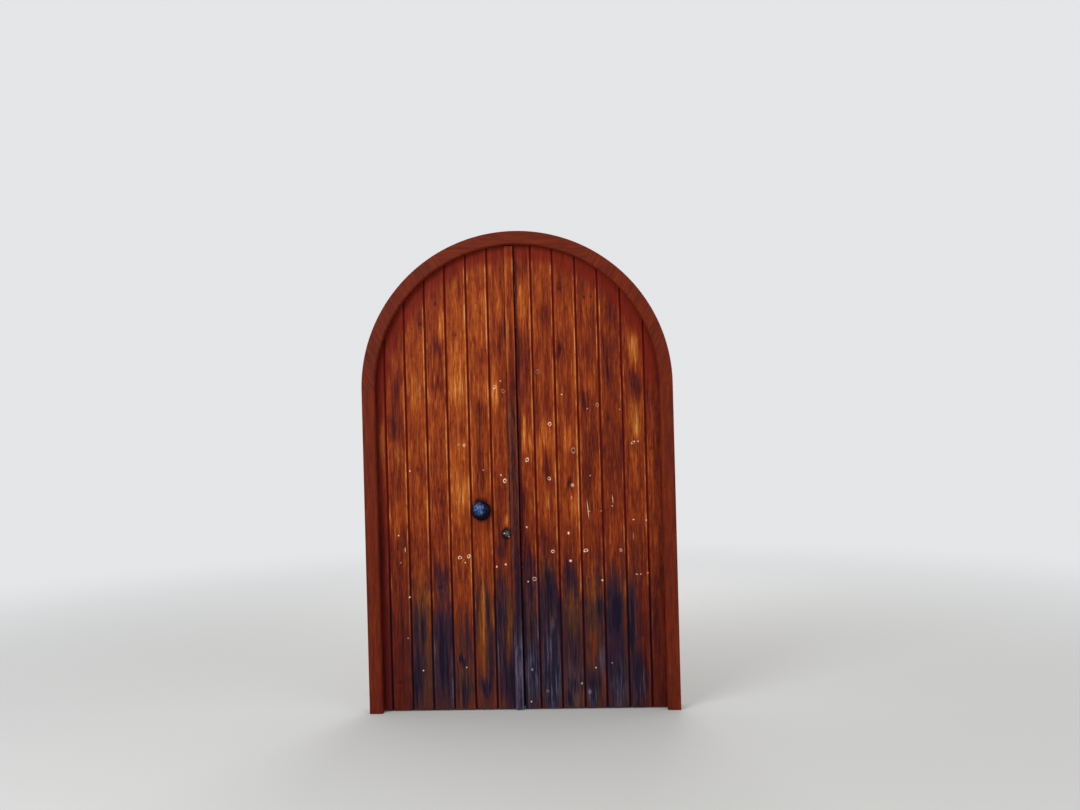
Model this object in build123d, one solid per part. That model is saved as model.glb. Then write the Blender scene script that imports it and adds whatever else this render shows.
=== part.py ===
from build123d import *

import os
from math import cos, radians, sin

# An arched pair of boarded leaves in their wooden frame. The outside faces -Y, the leaves open towards +Y,
# Z = 0 is the sill under the jambs and X = 0 is the line where the leaves meet. Millimetres.

# Frame
sight_radius = 650.0  # half the width between the stops, and the arch's radius at its sight edge
spring_height = 1480.0  # sill to the springing line
frame_face = 60.0  # width of the frame, from the sight edge outwards
stop_depth = 38.0  # front to back of the stop that the leaves shut against
stop_lap = 18.0  # how far the rebate's wall stands outside the sight edge
sight_chamfer = 6.0  # on the stop's front arris
segment_angle = 60.0  # each of the arch's three segments
loose_tenon_width = 30.0
loose_tenon_thickness = 14.0
loose_tenon_length = 70.0
joinery_clearance = 0.3  # round every tenon
anchor_radius = 5.0  # holes through the jambs for the masonry anchors
anchor_inset = 17.0  # from the frame's front face
anchor_low = 150.0
anchor_top_drop = 160.0  # from the springing line
anchor_count = 4

# Leaves
edge_gap = 3.0  # leaf to the rebate's wall
floor_gap = 8.0
meeting_gap = 4.5  # between the two leaves
stop_gap = 0.5  # boards to the back of the stop
board_thickness = 22.0
framing_thickness = 35.0
stile_width = 90.0
arch_rail_width = 100.0
bottom_rail_height = 150.0
lock_rail_margin = 35.0  # under the lock's middle and over the knob's
top_rail_drop = 10.0  # its top edge, below the springing line
top_rail_height = 135.0
tenon_thickness = 12.0
tenon_length = 50.0
tenon_shoulder = 20.0
lock_tenon_shoulder = 70.0  # keeps the lock rail's tenon above the lock cylinder
arch_tenon_width = 50.0
arch_tenon_length = 40.0

# Boards, from the meeting line outwards; the last board of each leaf takes up what is left, and the others give
# way where too little is left
left_board_widths = (98.5, 98.8, 98.4, 95.7, 96.1, 95.2)
right_board_widths = (74.0, 99.4, 102.5, 100.7, 102.5, 102.1)
least_board_width = 30.0
board_joint = 0.4  # open joint between two boards' edges
board_chamfer = 4.5  # one side of a V joint
meeting_chamfer = 2.0
tongue_setback = 9.0  # face of the board to the tongue
tongue_thickness = 7.0
tongue_length = 8.0
tongue_clearance = 0.25

# Meeting strip on the left leaf
strip_width = 39.0
strip_proud = 12.0
strip_lap = 16.0  # part of its width that lies on the last board
strip_setback = 1.0  # from the leaf's meeting edge
strip_round = 3.5
strip_top_gap = 4.0  # under the arch's sight edge

# Strap hinges
lower_strap_height = 95.0
upper_strap_drop = 80.0  # below the springing line
strap_width = 40.0
strap_tip_width = 26.0
strap_thickness = 5.0
strap_length = 420.0
strap_penny_radius = 19.0
strap_nail_spacing = 165.0
strap_root_nail = 40.0  # from the leaf's hanging edge
eye_radius = 12.5
eye_standoff = 1.0  # eye to the frame's back face
pin_radius = 7.0
pin_clearance = 0.05
thrust_gap = 0.3
pintle_lug_height = 24.0
pintle_pin_above = 6.0
pintle_plate_width = 27.0
pintle_plate_length = 124.0
pintle_plate_thickness = 5.0
pintle_plate_margin = 4.0  # from the frame's outer edge
pintle_plate_drop = 20.0  # its middle, below the strap's
pintle_nail_inset = 14.0
pintle_nail_steps = (-1, 0.5, 1)  # from the plate's middle, as shares of the way to its end nails

# Square nails
nail_shank = 6.0
nail_length = 36.0
nail_head = 13.0
nail_head_height = 5.0
nail_head_top = 5.2  # width of the flat on top of the head
nail_clearance = 0.2

# Knob
knob_rise = 110.0  # above the lock
knob_radius = 45.0
knob_reach = 70.0  # in front of the boards
knob_rim_reach = 43.0
knob_neck_radius = 16.0
knob_neck_reach = 21.0
knob_flats = 20  # hammered flats round the knob
knob_bands = 5  # rows of flats from the rim to the front
knob_front_share = 0.5  # of a row, left as the flat in the middle of the front
knob_shank_radius = 6.0
knob_shank_clearance = 0.4
knob_shank_end = 14.0  # behind the leaf
knob_rose_radius = 30.0
knob_rose_thickness = 5.0
nut_width = 26.0
nut_thickness = 11.0

# Lock
lock_height = 810.0
lock_offset = 60.5  # from the meeting line
lock_rose_radius = 18.0
lock_rose_thickness = 5.0
cylinder_radius = 14.0
cylinder_clearance = 0.2
cylinder_proud = 3.5
plug_radius = 6.5
plug_clearance = 0.05
plug_proud = 0.8  # in front of the cylinder's face
keyway_width = 2.2
keyway_height = 8.5
keyway_depth = 20.0
tail_width = 8.0
tail_thickness = 2.5
tail_reach = 7.0
tail_hole_radius = 6.5
case_width = 118.0
case_height = 110.0
case_depth = 30.0
case_setback = 2.0  # from the leaf's meeting edge
case_round = 4.0
ear_height = 15.0
ear_thickness = 3.0
bolt_length = 75.0
bolt_height = 30.0
bolt_thickness = 12.0
bolt_clearance = 0.4
bolt_standoff = 9.0  # leaf's back to the bolt
bolt_setback = 1.0  # inside the case's mouth
bolt_throw = 25.0
bolt_knob_radius = 5.0
bolt_knob_reach = 10.0  # behind the case
keeper_width = 42.0
keeper_height = 62.0
keeper_socket_depth = 24.0
keeper_socket_margin = 2.0
case_nail_inset = 18.0  # from the case's side

# Upright bolts on the right leaf
rod_radius = 6.0
rod_clearance = 0.4
rod_standoff = 13.0  # leaf's back to the rod's middle
top_rod_length = 868.0
bottom_rod_high = 430.0
rod_throw = 28.0
keeper_engagement = 16.0  # of the top rod in its keeper, when shot
sill_engagement = 14.0  # of the bottom rod in the sill, when shot
rod_handle_inset = 20.0
rod_handle_radius = 8.0
rod_handle_reach = 36.0  # leaf's back to the handle's end
bottom_guide_heights = (60.0, 340.0)
lower_top_guide_drop = 120.0  # below the springing line
upper_top_guide_drop = 60.0  # below the leaf's crown
guide_height = 20.0
guide_width = 28.0
guide_depth = 25.0
guide_ear = 17.0
guide_ear_thickness = 4.0
top_keeper_rise = 2.0  # above the rebate's wall
top_keeper_height = 32.0
keeper_hole_margin = 1.0  # round the rod, in the top keeper's square hole

# Places that follow from the sizes
leaf_radius = sight_radius + stop_lap - edge_gap
frame_radius = sight_radius + frame_face
leaf_thickness = board_thickness + framing_thickness
back_reach = case_depth + bolt_knob_reach
board_face_y = (knob_reach - leaf_thickness - back_reach) / 2
board_back_y = board_face_y + board_thickness
leaf_back_y = board_face_y + leaf_thickness
stop_back_y = board_face_y - stop_gap
frame_front_y = stop_back_y - stop_depth
leaf_edge_x = meeting_gap / 2
strip_edge_x = leaf_edge_x + strip_setback
strip_shoulder_x = strip_edge_x + strip_width - strip_lap
pin_x = sight_radius + stop_lap
pin_y = leaf_back_y + eye_standoff + eye_radius
pintle_plate_x = frame_radius - pintle_plate_margin - pintle_plate_width / 2
anchor_high = spring_height - anchor_top_drop
stile_side_x = leaf_edge_x + stile_width
hanging_side_x = leaf_radius - stile_width
top_rail_high = spring_height - top_rail_drop
knob_height = lock_height + knob_rise
lock_rail_low = lock_height - lock_rail_margin
lock_rail_high = knob_height + lock_rail_margin
rail_levels = {
    "bottom_rail": (floor_gap, floor_gap + bottom_rail_height, tenon_shoulder),
    "lock_rail": (lock_rail_low, lock_rail_high, lock_tenon_shoulder),
    "top_rail": (top_rail_high - top_rail_height, top_rail_high, tenon_shoulder),
}
tenon_y = board_back_y + framing_thickness / 2
strap_heights = {"lower": lower_strap_height, "upper": spring_height - upper_strap_drop}
knob_x = -(strip_shoulder_x + left_board_widths[0] + left_board_widths[1] / 2)
bolt_front_y = leaf_back_y + bolt_standoff
case_edge_x = leaf_edge_x + case_setback
rod_x = leaf_edge_x + stile_width / 2
rod_y = leaf_back_y + rod_standoff
guide_heights = (
    *bottom_guide_heights,
    spring_height - lower_top_guide_drop,
    spring_height + leaf_radius - upper_top_guide_drop,
)
top_keeper_low = spring_height + pin_x + top_keeper_rise
top_rod_high = top_keeper_low + keeper_engagement - rod_throw
top_rod_low = top_rod_high - top_rod_length
bottom_rod_low = rod_throw - sill_engagement
arch_axis = Axis((0, 0, spring_height), (0, -1, 0))


# Shared shapes
def block(x0, x1, y0, y1, z0, z1):
    """A block between two opposite corners."""
    middle = Pos((x0 + x1) / 2, (y0 + y1) / 2, (z0 + z1) / 2)
    return middle * Box(abs(x1 - x0), abs(y1 - y0), abs(z1 - z0))


def rod_along_y(x, z, radius, y0, y1):
    """A round bar from front to back."""
    return Pos(x, (y0 + y1) / 2, z) * Rot(X=90) * Cylinder(radius, abs(y1 - y0))


def rod_along_z(x, y, radius, z0, z1):
    """An upright round bar."""
    return Pos(x, y, (z0 + z1) / 2) * Cylinder(radius, abs(z1 - z0))


def plate(points, y, thickness):
    """A flat piece lying against the plane at y, cut to an outline of (x, z) points."""
    outline = make_face(Polyline(*[(x, y, z) for x, z in points], close=True))
    return extrude(outline, amount=thickness, dir=(0, 1, 0))


def column(points, z0, z1):
    """An upright piece with a section of (x, y) points."""
    section = make_face(Polyline(*[(x, y, z0) for x, y in points], close=True))
    return extrude(section, amount=z1 - z0, dir=(0, 0, 1))


def on_side(side, shape):
    """A piece drawn on the right, moved to the left by mirroring where side is -1."""
    return shape if side > 0 else mirror(shape, about=Plane.YZ)


def arched_slab(radius, foot, y0, y1):
    """A slab with a round head of this radius about the springing line."""
    straight = block(-radius, radius, y0, y1, foot, spring_height)
    return straight + rod_along_y(0, spring_height, radius, y0, y1)


# Fasteners
def nail(x, z, seat_y):
    """A square nail with a faceted head, driven forwards from the face at seat_y."""
    half = nail_shank / 2
    shank = block(x - half, x + half, seat_y - nail_length, seat_y, z - half, z + half)
    inset = (nail_head - nail_head_top) / 2
    rise = nail_head - inset
    head = Wedge(nail_head, nail_head_height, nail_head, inset, inset, rise, rise)
    return shank + Pos(x, seat_y + nail_head_height / 2, z) * head


def nail_hole(x, z, seat_y):
    """The hole of a nail with its clearance."""
    half = nail_shank / 2 + nail_clearance
    tip = seat_y - nail_length - nail_clearance
    return block(x - half, x + half, tip, seat_y + nail_clearance, z - half, z + half)


def pintle_nails(side, height):
    """Where a pintle's nails stand: (x, z) points."""
    middle = height - pintle_plate_drop
    reach = pintle_plate_length / 2 - pintle_nail_inset
    return [(side * pintle_plate_x, middle + step * reach) for step in pintle_nail_steps]


def strap_nails(side, height):
    """Where a strap's nails stand: (x, z) points, the last at the penny's middle."""
    root = leaf_radius - strap_root_nail
    steps = (0, strap_nail_spacing)
    penny = leaf_radius - strap_length + strap_penny_radius
    return [(side * (root - step), height) for step in steps] + [(side * penny, height)]


def guide_nails(middle):
    """Where the two nails of a bolt guide or of the top keeper stand."""
    reach = guide_width / 2 + guide_ear / 2
    return [(rod_x - reach, middle), (rod_x + reach, middle)]


def case_nails():
    """Where the lock case's four nails stand."""
    high = case_height / 2 + ear_height / 2
    xs = (case_edge_x + case_nail_inset, case_edge_x + case_width - case_nail_inset)
    return [(-x, lock_height + step * high) for x in xs for step in (-1, 1)]


def keeper_nails():
    """Where the lock keeper's two nails stand."""
    high = keeper_height / 2 + ear_height / 2
    return [(case_edge_x + keeper_width / 2, lock_height + step * high) for step in (-1, 1)]


# Frame
def frame_section(z):
    """The frame's section at the right jamb: the stop in front and the rebate behind it."""
    return [
        (sight_radius + sight_chamfer, frame_front_y, z),
        (frame_radius, frame_front_y, z),
        (frame_radius, leaf_back_y, z),
        (pin_x, leaf_back_y, z),
        (pin_x, stop_back_y, z),
        (sight_radius, stop_back_y, z),
        (sight_radius, frame_front_y + sight_chamfer, z),
    ]


def loose_tenon(angle, clearance):
    """A loose tenon across the arch joint at this angle above the right springing."""
    wall = (frame_radius + pin_x) / 2
    across = loose_tenon_width / 2 + clearance
    thick = loose_tenon_thickness / 2 + clearance
    along = loose_tenon_length / 2 + clearance
    middle = (frame_front_y + leaf_back_y) / 2
    tenon = block(
        wall - across,
        wall + across,
        middle - thick,
        middle + thick,
        spring_height - along,
        spring_height + along,
    )
    return tenon.rotate(arch_axis, angle)


def jamb(side):
    """A jamb, with its mortise, its anchor holes and its pintles' nail holes."""
    section = make_face(Polyline(*frame_section(0), close=True))
    body = extrude(section, amount=spring_height, dir=(0, 0, 1))
    body -= loose_tenon(0, joinery_clearance)
    step = (anchor_high - anchor_low) / (anchor_count - 1)
    anchor_y = frame_front_y + anchor_inset
    for i in range(anchor_count):
        place = Pos((sight_radius + frame_radius) / 2, anchor_y, anchor_low + i * step)
        body -= place * Rot(Y=90) * Cylinder(anchor_radius, frame_face * 2)
    for height in strap_heights.values():
        for x, z in pintle_nails(1, height):
            body -= nail_hole(x, z, leaf_back_y + pintle_plate_thickness)
    return on_side(side, body)


def arch_segment(start):
    """One segment of the arch, mortised at both ends, from this angle above the right springing."""
    section = make_face(Polyline(*frame_section(spring_height), close=True))
    body = revolve(section, axis=arch_axis, revolution_arc=segment_angle)
    body = body.rotate(arch_axis, start)
    body -= loose_tenon(start, joinery_clearance)
    return body - loose_tenon(start + segment_angle, joinery_clearance)


def crown_segment():
    """The middle segment, with the nail holes of the top bolt's keeper."""
    body = arch_segment(segment_angle)
    for x, z in guide_nails(top_keeper_low + top_keeper_height / 2):
        body -= nail_hole(x, z, leaf_back_y + guide_ear_thickness)
    return body


def pintle(side, height):
    """A plate nailed to the frame's back, with the lug and the pin that carry a strap's eye."""
    inner = pintle_plate_x - pintle_plate_width / 2
    outer = pintle_plate_x + pintle_plate_width / 2
    middle = height - pintle_plate_drop
    low = middle - pintle_plate_length / 2
    high = middle + pintle_plate_length / 2
    lug_top = height - strap_width / 2 - thrust_gap
    lug_low = lug_top - pintle_lug_height
    pin_top = height + strap_width / 2 + pintle_pin_above
    back = pin_y + eye_radius
    body = block(inner, outer, leaf_back_y, leaf_back_y + pintle_plate_thickness, low, high)
    arm = block(pin_x, outer, leaf_back_y + eye_standoff, back, lug_low, lug_top)
    slope = [
        (pin_x + eye_radius, back),
        (outer, leaf_back_y + pintle_plate_thickness),
        (outer, back),
    ]
    body += arm - column(slope, lug_low, lug_top)
    body += rod_along_z(pin_x, pin_y, eye_radius, lug_low, lug_top)
    body += rod_along_z(pin_x, pin_y, pin_radius, lug_low, pin_top)
    for x, z in pintle_nails(1, height):
        body -= nail_hole(x, z, leaf_back_y + pintle_plate_thickness)
    return on_side(side, body)


# Leaves
def board(x0, x1, plain_left, plain_right, face_chamfer_left, face_chamfer_right):
    """A board between two joint lines: groove on its left edge, tongue on its right, V chamfers in front."""
    left = x0 + (0 if plain_left else board_joint / 2)
    right = x1 - (0 if plain_right else board_joint / 2)
    tongue_front = board_face_y + tongue_setback
    tongue_back = tongue_front + tongue_thickness
    points = [
        (left + face_chamfer_left, board_face_y),
        (right - face_chamfer_right, board_face_y),
        (right, board_face_y + face_chamfer_right),
    ]
    if not plain_right:
        points += [
            (right, tongue_front),
            (right + tongue_length, tongue_front),
            (right + tongue_length, tongue_back),
            (right, tongue_back),
        ]
    points += [(right, board_back_y), (left, board_back_y)]
    if not plain_left:
        bottom = left + board_joint + tongue_length + tongue_clearance
        points += [
            (left, tongue_back + tongue_clearance),
            (bottom, tongue_back + tongue_clearance),
            (bottom, tongue_front - tongue_clearance),
            (left, tongue_front - tongue_clearance),
        ]
    points.append((left, board_face_y + face_chamfer_left))
    corners = [p for i, p in enumerate(points) if p != points[i - 1]]
    tall = column(corners, floor_gap, spring_height + leaf_radius)
    return tall & arched_slab(leaf_radius, floor_gap, board_face_y - 1, board_back_y + 1)


def leaf_boards(side):
    """The boards of one leaf, counted from the meeting line outwards."""
    widths = left_board_widths if side < 0 else right_board_widths
    joint = strip_shoulder_x if side < 0 else leaf_edge_x
    lines = [joint]
    for i, width in enumerate(widths):
        joint += width
        boards_left = len(widths) - i
        lines.append(min(joint, leaf_radius - boards_left * least_board_width))
    lines.append(leaf_radius)
    boards = []
    last = len(lines) - 2
    for i in range(len(lines) - 1):
        inner_chamfer = board_chamfer if i else (0 if side < 0 else meeting_chamfer)
        outer_chamfer = board_chamfer if i < last else 0
        inner, outer = side * lines[i], side * lines[i + 1]
        if side > 0:
            made = board(inner, outer, i == 0, i == last, inner_chamfer, outer_chamfer)
        else:
            made = board(outer, inner, i == last, i == 0, outer_chamfer, inner_chamfer)
        boards.append(made)
    return boards


def rail_tenon(x0, x1, z0, z1, clearance):
    """A tenon, or with a clearance the mortise for it, in the middle of the framing's thickness."""
    half = tenon_thickness / 2 + clearance
    low, high = z0 - clearance, z1 + clearance
    return block(x0 - clearance, x1 + clearance, tenon_y - half, tenon_y + half, low, high)


def rail(low, high, shoulder):
    """A level rail with a tenon into each stile."""
    body = block(stile_side_x, hanging_side_x, board_back_y, leaf_back_y, low, high)
    x0, x1 = stile_side_x - tenon_length, hanging_side_x + tenon_length
    return body + rail_tenon(x0, x1, low + shoulder, high - tenon_shoulder, 0)


def rail_mortises():
    """The mortises that the rails need in both stiles."""
    x0, x1 = stile_side_x - tenon_length, hanging_side_x + tenon_length
    cuts = [
        rail_tenon(x0, x1, low + shoulder, high - tenon_shoulder, joinery_clearance)
        for low, high, shoulder in rail_levels.values()
    ]
    return cuts[0] + cuts[1:]


def stile_foot_tenon(clearance):
    """The tenon of the hanging stile that stands up into the arch rail."""
    middle = leaf_radius - arch_rail_width / 2
    half = arch_tenon_width / 2
    top = spring_height + arch_tenon_length
    return rail_tenon(middle - half, middle + half, spring_height, top, clearance)


def crown_tenon(clearance):
    """The tenon of the arch rail into the meeting stile."""
    radius = leaf_radius - arch_rail_width / 2
    middle = spring_height + (radius**2 - stile_side_x**2) ** 0.5
    half = arch_tenon_width / 2
    inner = stile_side_x - arch_tenon_length
    return rail_tenon(inner, stile_side_x, middle - half, middle + half, clearance)


def leaf_framing():
    """The six framing members of the right leaf, by name, before its hardware is fitted."""
    slab = arched_slab(leaf_radius, floor_gap, board_back_y, leaf_back_y)
    tall = block(
        leaf_edge_x,
        stile_side_x,
        board_back_y,
        leaf_back_y,
        floor_gap,
        spring_height + leaf_radius,
    )
    hanging = block(
        hanging_side_x, leaf_radius, board_back_y, leaf_back_y, floor_gap, spring_height
    )
    hanging += stile_foot_tenon(0)
    inner_radius = leaf_radius - arch_rail_width
    quarter = block(
        stile_side_x,
        leaf_radius,
        board_back_y,
        leaf_back_y,
        spring_height,
        spring_height + leaf_radius,
    )
    hollow = rod_along_y(0, spring_height, inner_radius, board_back_y - 1, leaf_back_y + 1)
    arch_rail = (quarter & slab) - hollow - stile_foot_tenon(joinery_clearance)
    members = {
        "meeting_stile": (tall & slab) - rail_mortises() - crown_tenon(joinery_clearance),
        "hanging_stile": hanging - rail_mortises(),
        "arch_rail": arch_rail + crown_tenon(0),
    }
    for name, (low, high, shoulder) in rail_levels.items():
        members[name] = rail(low, high, shoulder)
    return members


def meeting_strip():
    """The proud strip on the left leaf, rebated so that it laps over the last board."""
    outer = strip_edge_x + strip_width
    front = board_face_y - strip_proud
    bar = block(-outer, -strip_edge_x, front, board_face_y, floor_gap, spring_height * 2)
    arrises = bar.edges().filter_by(Axis.Z).group_by(Axis.Y)[0]
    bar = fillet(arrises, strip_round)
    bar &= arched_slab(sight_radius - strip_top_gap, floor_gap, front - 1, board_face_y + 1)
    heart = block(
        -strip_shoulder_x,
        -strip_edge_x,
        board_face_y,
        board_back_y,
        floor_gap,
        spring_height * 2,
    )
    return bar + (heart & arched_slab(leaf_radius, floor_gap, board_face_y, board_back_y))


def strap(side, height):
    """A tapering strap with a penny end, whose rolled eye turns on the pintle's pin."""
    root = leaf_radius - eye_standoff
    penny = leaf_radius - strap_length + strap_penny_radius
    wide, narrow = strap_width / 2, strap_tip_width / 2
    outline = [
        (root, height - wide),
        (root, height + wide),
        (penny, height + narrow),
        (penny, height - narrow),
    ]
    body = plate(outline, leaf_back_y, strap_thickness)
    plate_back = leaf_back_y + strap_thickness
    body += rod_along_y(penny, height, strap_penny_radius, leaf_back_y, plate_back)
    body += rod_along_z(pin_x, pin_y, eye_radius, height - wide, height + wide)
    bore = pin_radius + pin_clearance
    body -= rod_along_z(pin_x, pin_y, bore, height - strap_width, height + strap_width)
    for x, z in strap_nails(1, height):
        body -= nail_hole(x, z, plate_back)
    return on_side(side, body)


# Knob
def knob_corners(radius, y):
    """The corners of the hammered outline at this radius and distance from front to back."""
    turns = [radians(i * 360 / knob_flats) for i in range(knob_flats)]
    return [
        Vector(knob_x + radius * cos(turn), y, knob_height + radius * sin(turn)) for turn in turns
    ]


def knob_profile():
    """The knob's radius and place from front to back, from row to row of its flats."""
    rim_y = board_face_y - knob_rim_reach
    depth = knob_reach - knob_rim_reach
    under_width = knob_radius - knob_neck_radius
    under_depth = knob_rim_reach - knob_neck_reach
    profile = []
    for i in range(knob_bands, 0, -1):
        lean = radians(i * 90 / (knob_bands + knob_front_share))
        profile.append((knob_radius * cos(lean), rim_y - depth * sin(lean)))
    for i in range(knob_bands):
        lean = radians(i * 90 / (knob_bands - 1))
        width = knob_neck_radius + under_width * cos(lean)
        profile.append((width, rim_y + under_depth * sin(lean)))
    return profile + [(knob_neck_radius, board_face_y - knob_rose_thickness)]


def knob():
    """The forged knob with rows of hammered flats, its neck, and the shank that passes through the leaf."""
    rows = [knob_corners(radius, y) for radius, y in knob_profile()]
    faces = [Face(Wire.make_polygon(row)) for row in (rows[0], rows[-1])]
    for row, next_row in zip(rows, rows[1:]):
        for i in range(knob_flats):
            corners = (row[i - 1], row[i], next_row[i], next_row[i - 1])
            faces.append(Face(Wire.make_polygon(corners)))
    seat_y = board_face_y - knob_rose_thickness
    end_y = leaf_back_y + knob_shank_end
    shank = rod_along_y(knob_x, knob_height, knob_shank_radius, seat_y, end_y)
    return Solid(Shell(faces)) + shank


def knob_rose():
    """The forged plate between the knob's neck and the boards."""
    seat_y = board_face_y - knob_rose_thickness
    outline = Face(Wire.make_polygon(knob_corners(knob_rose_radius, seat_y)))
    disc = extrude(outline, amount=knob_rose_thickness, dir=(0, 1, 0))
    return disc - knob_shank_hole()


def knob_shank_hole():
    """The hole for the knob's shank, right through the leaf."""
    radius = knob_shank_radius + knob_shank_clearance
    return rod_along_y(knob_x, knob_height, radius, board_face_y - knob_reach / 2, leaf_back_y + 1)


def knob_nut():
    """The square nut on the knob's shank, against the lock rail."""
    half = nut_width / 2
    nut_back = leaf_back_y + nut_thickness
    body = block(
        knob_x - half,
        knob_x + half,
        leaf_back_y,
        nut_back,
        knob_height - half,
        knob_height + half,
    )
    bore = knob_shank_radius + joinery_clearance
    return body - rod_along_y(knob_x, knob_height, bore, leaf_back_y - 1, nut_back + 1)


# Lock
def cylinder_hole():
    """The hole for the lock cylinder, right through the leaf."""
    radius = cylinder_radius + cylinder_clearance
    return rod_along_y(-lock_offset, lock_height, radius, board_face_y - 1, leaf_back_y + 1)


def cylinder_rose():
    """The ring round the lock cylinder's face."""
    front = board_face_y - lock_rose_thickness
    ring = rod_along_y(-lock_offset, lock_height, lock_rose_radius, front, board_face_y)
    bore = cylinder_radius + cylinder_clearance
    return ring - rod_along_y(-lock_offset, lock_height, bore, front - 1, board_face_y + 1)


def cylinder_body():
    """The lock cylinder, bored for its plug."""
    front = board_face_y - cylinder_proud
    body = rod_along_y(-lock_offset, lock_height, cylinder_radius, front, leaf_back_y)
    bore = plug_radius + plug_clearance
    return body - rod_along_y(-lock_offset, lock_height, bore, front - 1, leaf_back_y + 1)


def cylinder_plug():
    """The plug that the key turns, with its keyway in front and its flat tail behind."""
    front = board_face_y - cylinder_proud - plug_proud
    body = rod_along_y(-lock_offset, lock_height, plug_radius, front, leaf_back_y)
    body += block(
        -lock_offset - tail_width / 2,
        -lock_offset + tail_width / 2,
        leaf_back_y,
        leaf_back_y + tail_reach,
        lock_height - tail_thickness / 2,
        lock_height + tail_thickness / 2,
    )
    return body - block(
        -lock_offset - keyway_width / 2,
        -lock_offset + keyway_width / 2,
        front - 1,
        front + keyway_depth,
        lock_height - keyway_height / 2,
        lock_height + keyway_height / 2,
    )


def eared_case(x0, x1, height):
    """A lock box on the leaf's back with a flat ear above and below it, centred on the lock's height."""
    low, high = lock_height - height / 2, lock_height + height / 2
    box = block(x0, x1, leaf_back_y, leaf_back_y + case_depth, low, high)
    back_edges = box.faces().sort_by(Axis.Y)[-1].edges()
    box = chamfer(back_edges, case_round)
    ear_back = leaf_back_y + ear_thickness
    return box + block(x0, x1, leaf_back_y, ear_back, low - ear_height, high + ear_height)


def bolt_channel(x0, x1, margin):
    """The space for the sliding bolt from x0 to x1, wider than the bolt by the margin all round."""
    back = bolt_front_y + bolt_thickness + margin
    low, high = lock_height - bolt_height / 2 - margin, lock_height + bolt_height / 2 + margin
    return block(x0, x1, bolt_front_y - margin, back, low, high)


def lock_case():
    """The rim lock's case: the bolt's channel, the hole for the tail and the finger knob's slot."""
    body = eared_case(-case_edge_x - case_width, -case_edge_x, case_height)
    rest_end = -case_edge_x - bolt_setback
    body -= bolt_channel(rest_end - bolt_length - bolt_clearance, -case_edge_x + 1, bolt_clearance)
    body -= rod_along_y(
        -lock_offset, lock_height, tail_hole_radius, leaf_back_y - 1, bolt_front_y + 1
    )
    start = rest_end - bolt_length / 2
    slot_radius = bolt_knob_radius + bolt_clearance
    slot_back = leaf_back_y + case_depth + 1
    for x in (start, start + bolt_throw):
        body -= rod_along_y(x, lock_height, slot_radius, bolt_front_y, slot_back)
    body -= block(
        start,
        start + bolt_throw,
        bolt_front_y,
        slot_back,
        lock_height - slot_radius,
        lock_height + slot_radius,
    )
    for x, z in case_nails():
        body -= nail_hole(x, z, leaf_back_y + ear_thickness)
    return body


def lock_bolt():
    """The sliding bolt, drawn back, with the finger knob that moves it from inside."""
    end = -case_edge_x - bolt_setback
    body = bolt_channel(end - bolt_length, end, 0)
    middle = end - bolt_length / 2
    knob_end = leaf_back_y + back_reach
    knob_start = bolt_front_y + bolt_thickness / 2
    return body + rod_along_y(middle, lock_height, bolt_knob_radius, knob_start, knob_end)


def lock_keeper():
    """The keeper on the right leaf, with the socket that takes the bolt."""
    body = eared_case(case_edge_x, case_edge_x + keeper_width, keeper_height)
    body -= bolt_channel(
        case_edge_x - 1, case_edge_x + keeper_socket_depth, keeper_socket_margin
    )
    for x, z in keeper_nails():
        body -= nail_hole(x, z, leaf_back_y + ear_thickness)
    return body


# Upright bolts
def bolt_bridge(low, height, hole):
    """A nailed bridge on the leaf's or the frame's back, with the room that an upright rod enters."""
    half = guide_width / 2
    back = leaf_back_y + guide_depth
    body = block(rod_x - half, rod_x + half, leaf_back_y, back, low, low + height)
    body = chamfer(body.faces().sort_by(Axis.Y)[-1].edges().filter_by(Axis.Z), case_round)
    reach = half + guide_ear
    ear_back = leaf_back_y + guide_ear_thickness
    body += block(rod_x - reach, rod_x + reach, leaf_back_y, ear_back, low, low + height)
    body -= hole
    for x, z in guide_nails(low + height / 2):
        body -= nail_hole(x, z, ear_back)
    return body


def bolt_guide(middle):
    """A strap bent over the rod, with a rod's width of room under it."""
    low = middle - guide_height / 2
    half = rod_radius + rod_clearance
    hole = block(
        rod_x - half,
        rod_x + half,
        leaf_back_y - 1,
        rod_y + half,
        low - 1,
        low + guide_height + 1,
    )
    return bolt_bridge(low, guide_height, hole)


def top_bolt_keeper():
    """The bridge on the crown whose square hole takes the top rod."""
    half = rod_radius + keeper_hole_margin
    hole = block(
        rod_x - half,
        rod_x + half,
        rod_y - half,
        rod_y + half,
        top_keeper_low - 1,
        top_keeper_low + top_keeper_height + 1,
    )
    return bolt_bridge(top_keeper_low, top_keeper_height, hole)


def bolt_rod(low, high, handle_height):
    """An upright rod with its handle."""
    body = rod_along_z(rod_x, rod_y, rod_radius, low, high)
    handle_back = leaf_back_y + rod_handle_reach
    return body + rod_along_y(rod_x, handle_height, rod_handle_radius, rod_y, handle_back)


# Assembly
def leaf_fittings(side):
    """The holes that a leaf's hardware needs in its wood."""
    strap_back = leaf_back_y + strap_thickness
    cuts = [
        nail_hole(x, z, strap_back)
        for height in strap_heights.values()
        for x, z in strap_nails(side, height)
    ]
    if side < 0:
        cuts += [nail_hole(x, z, leaf_back_y + ear_thickness) for x, z in case_nails()]
        cuts += [knob_shank_hole(), cylinder_hole()]
    else:
        cuts += [nail_hole(x, z, leaf_back_y + ear_thickness) for x, z in keeper_nails()]
        for height in guide_heights:
            cuts += [
                nail_hole(x, z, leaf_back_y + guide_ear_thickness)
                for x, z in guide_nails(height)
            ]
    return cuts


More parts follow.
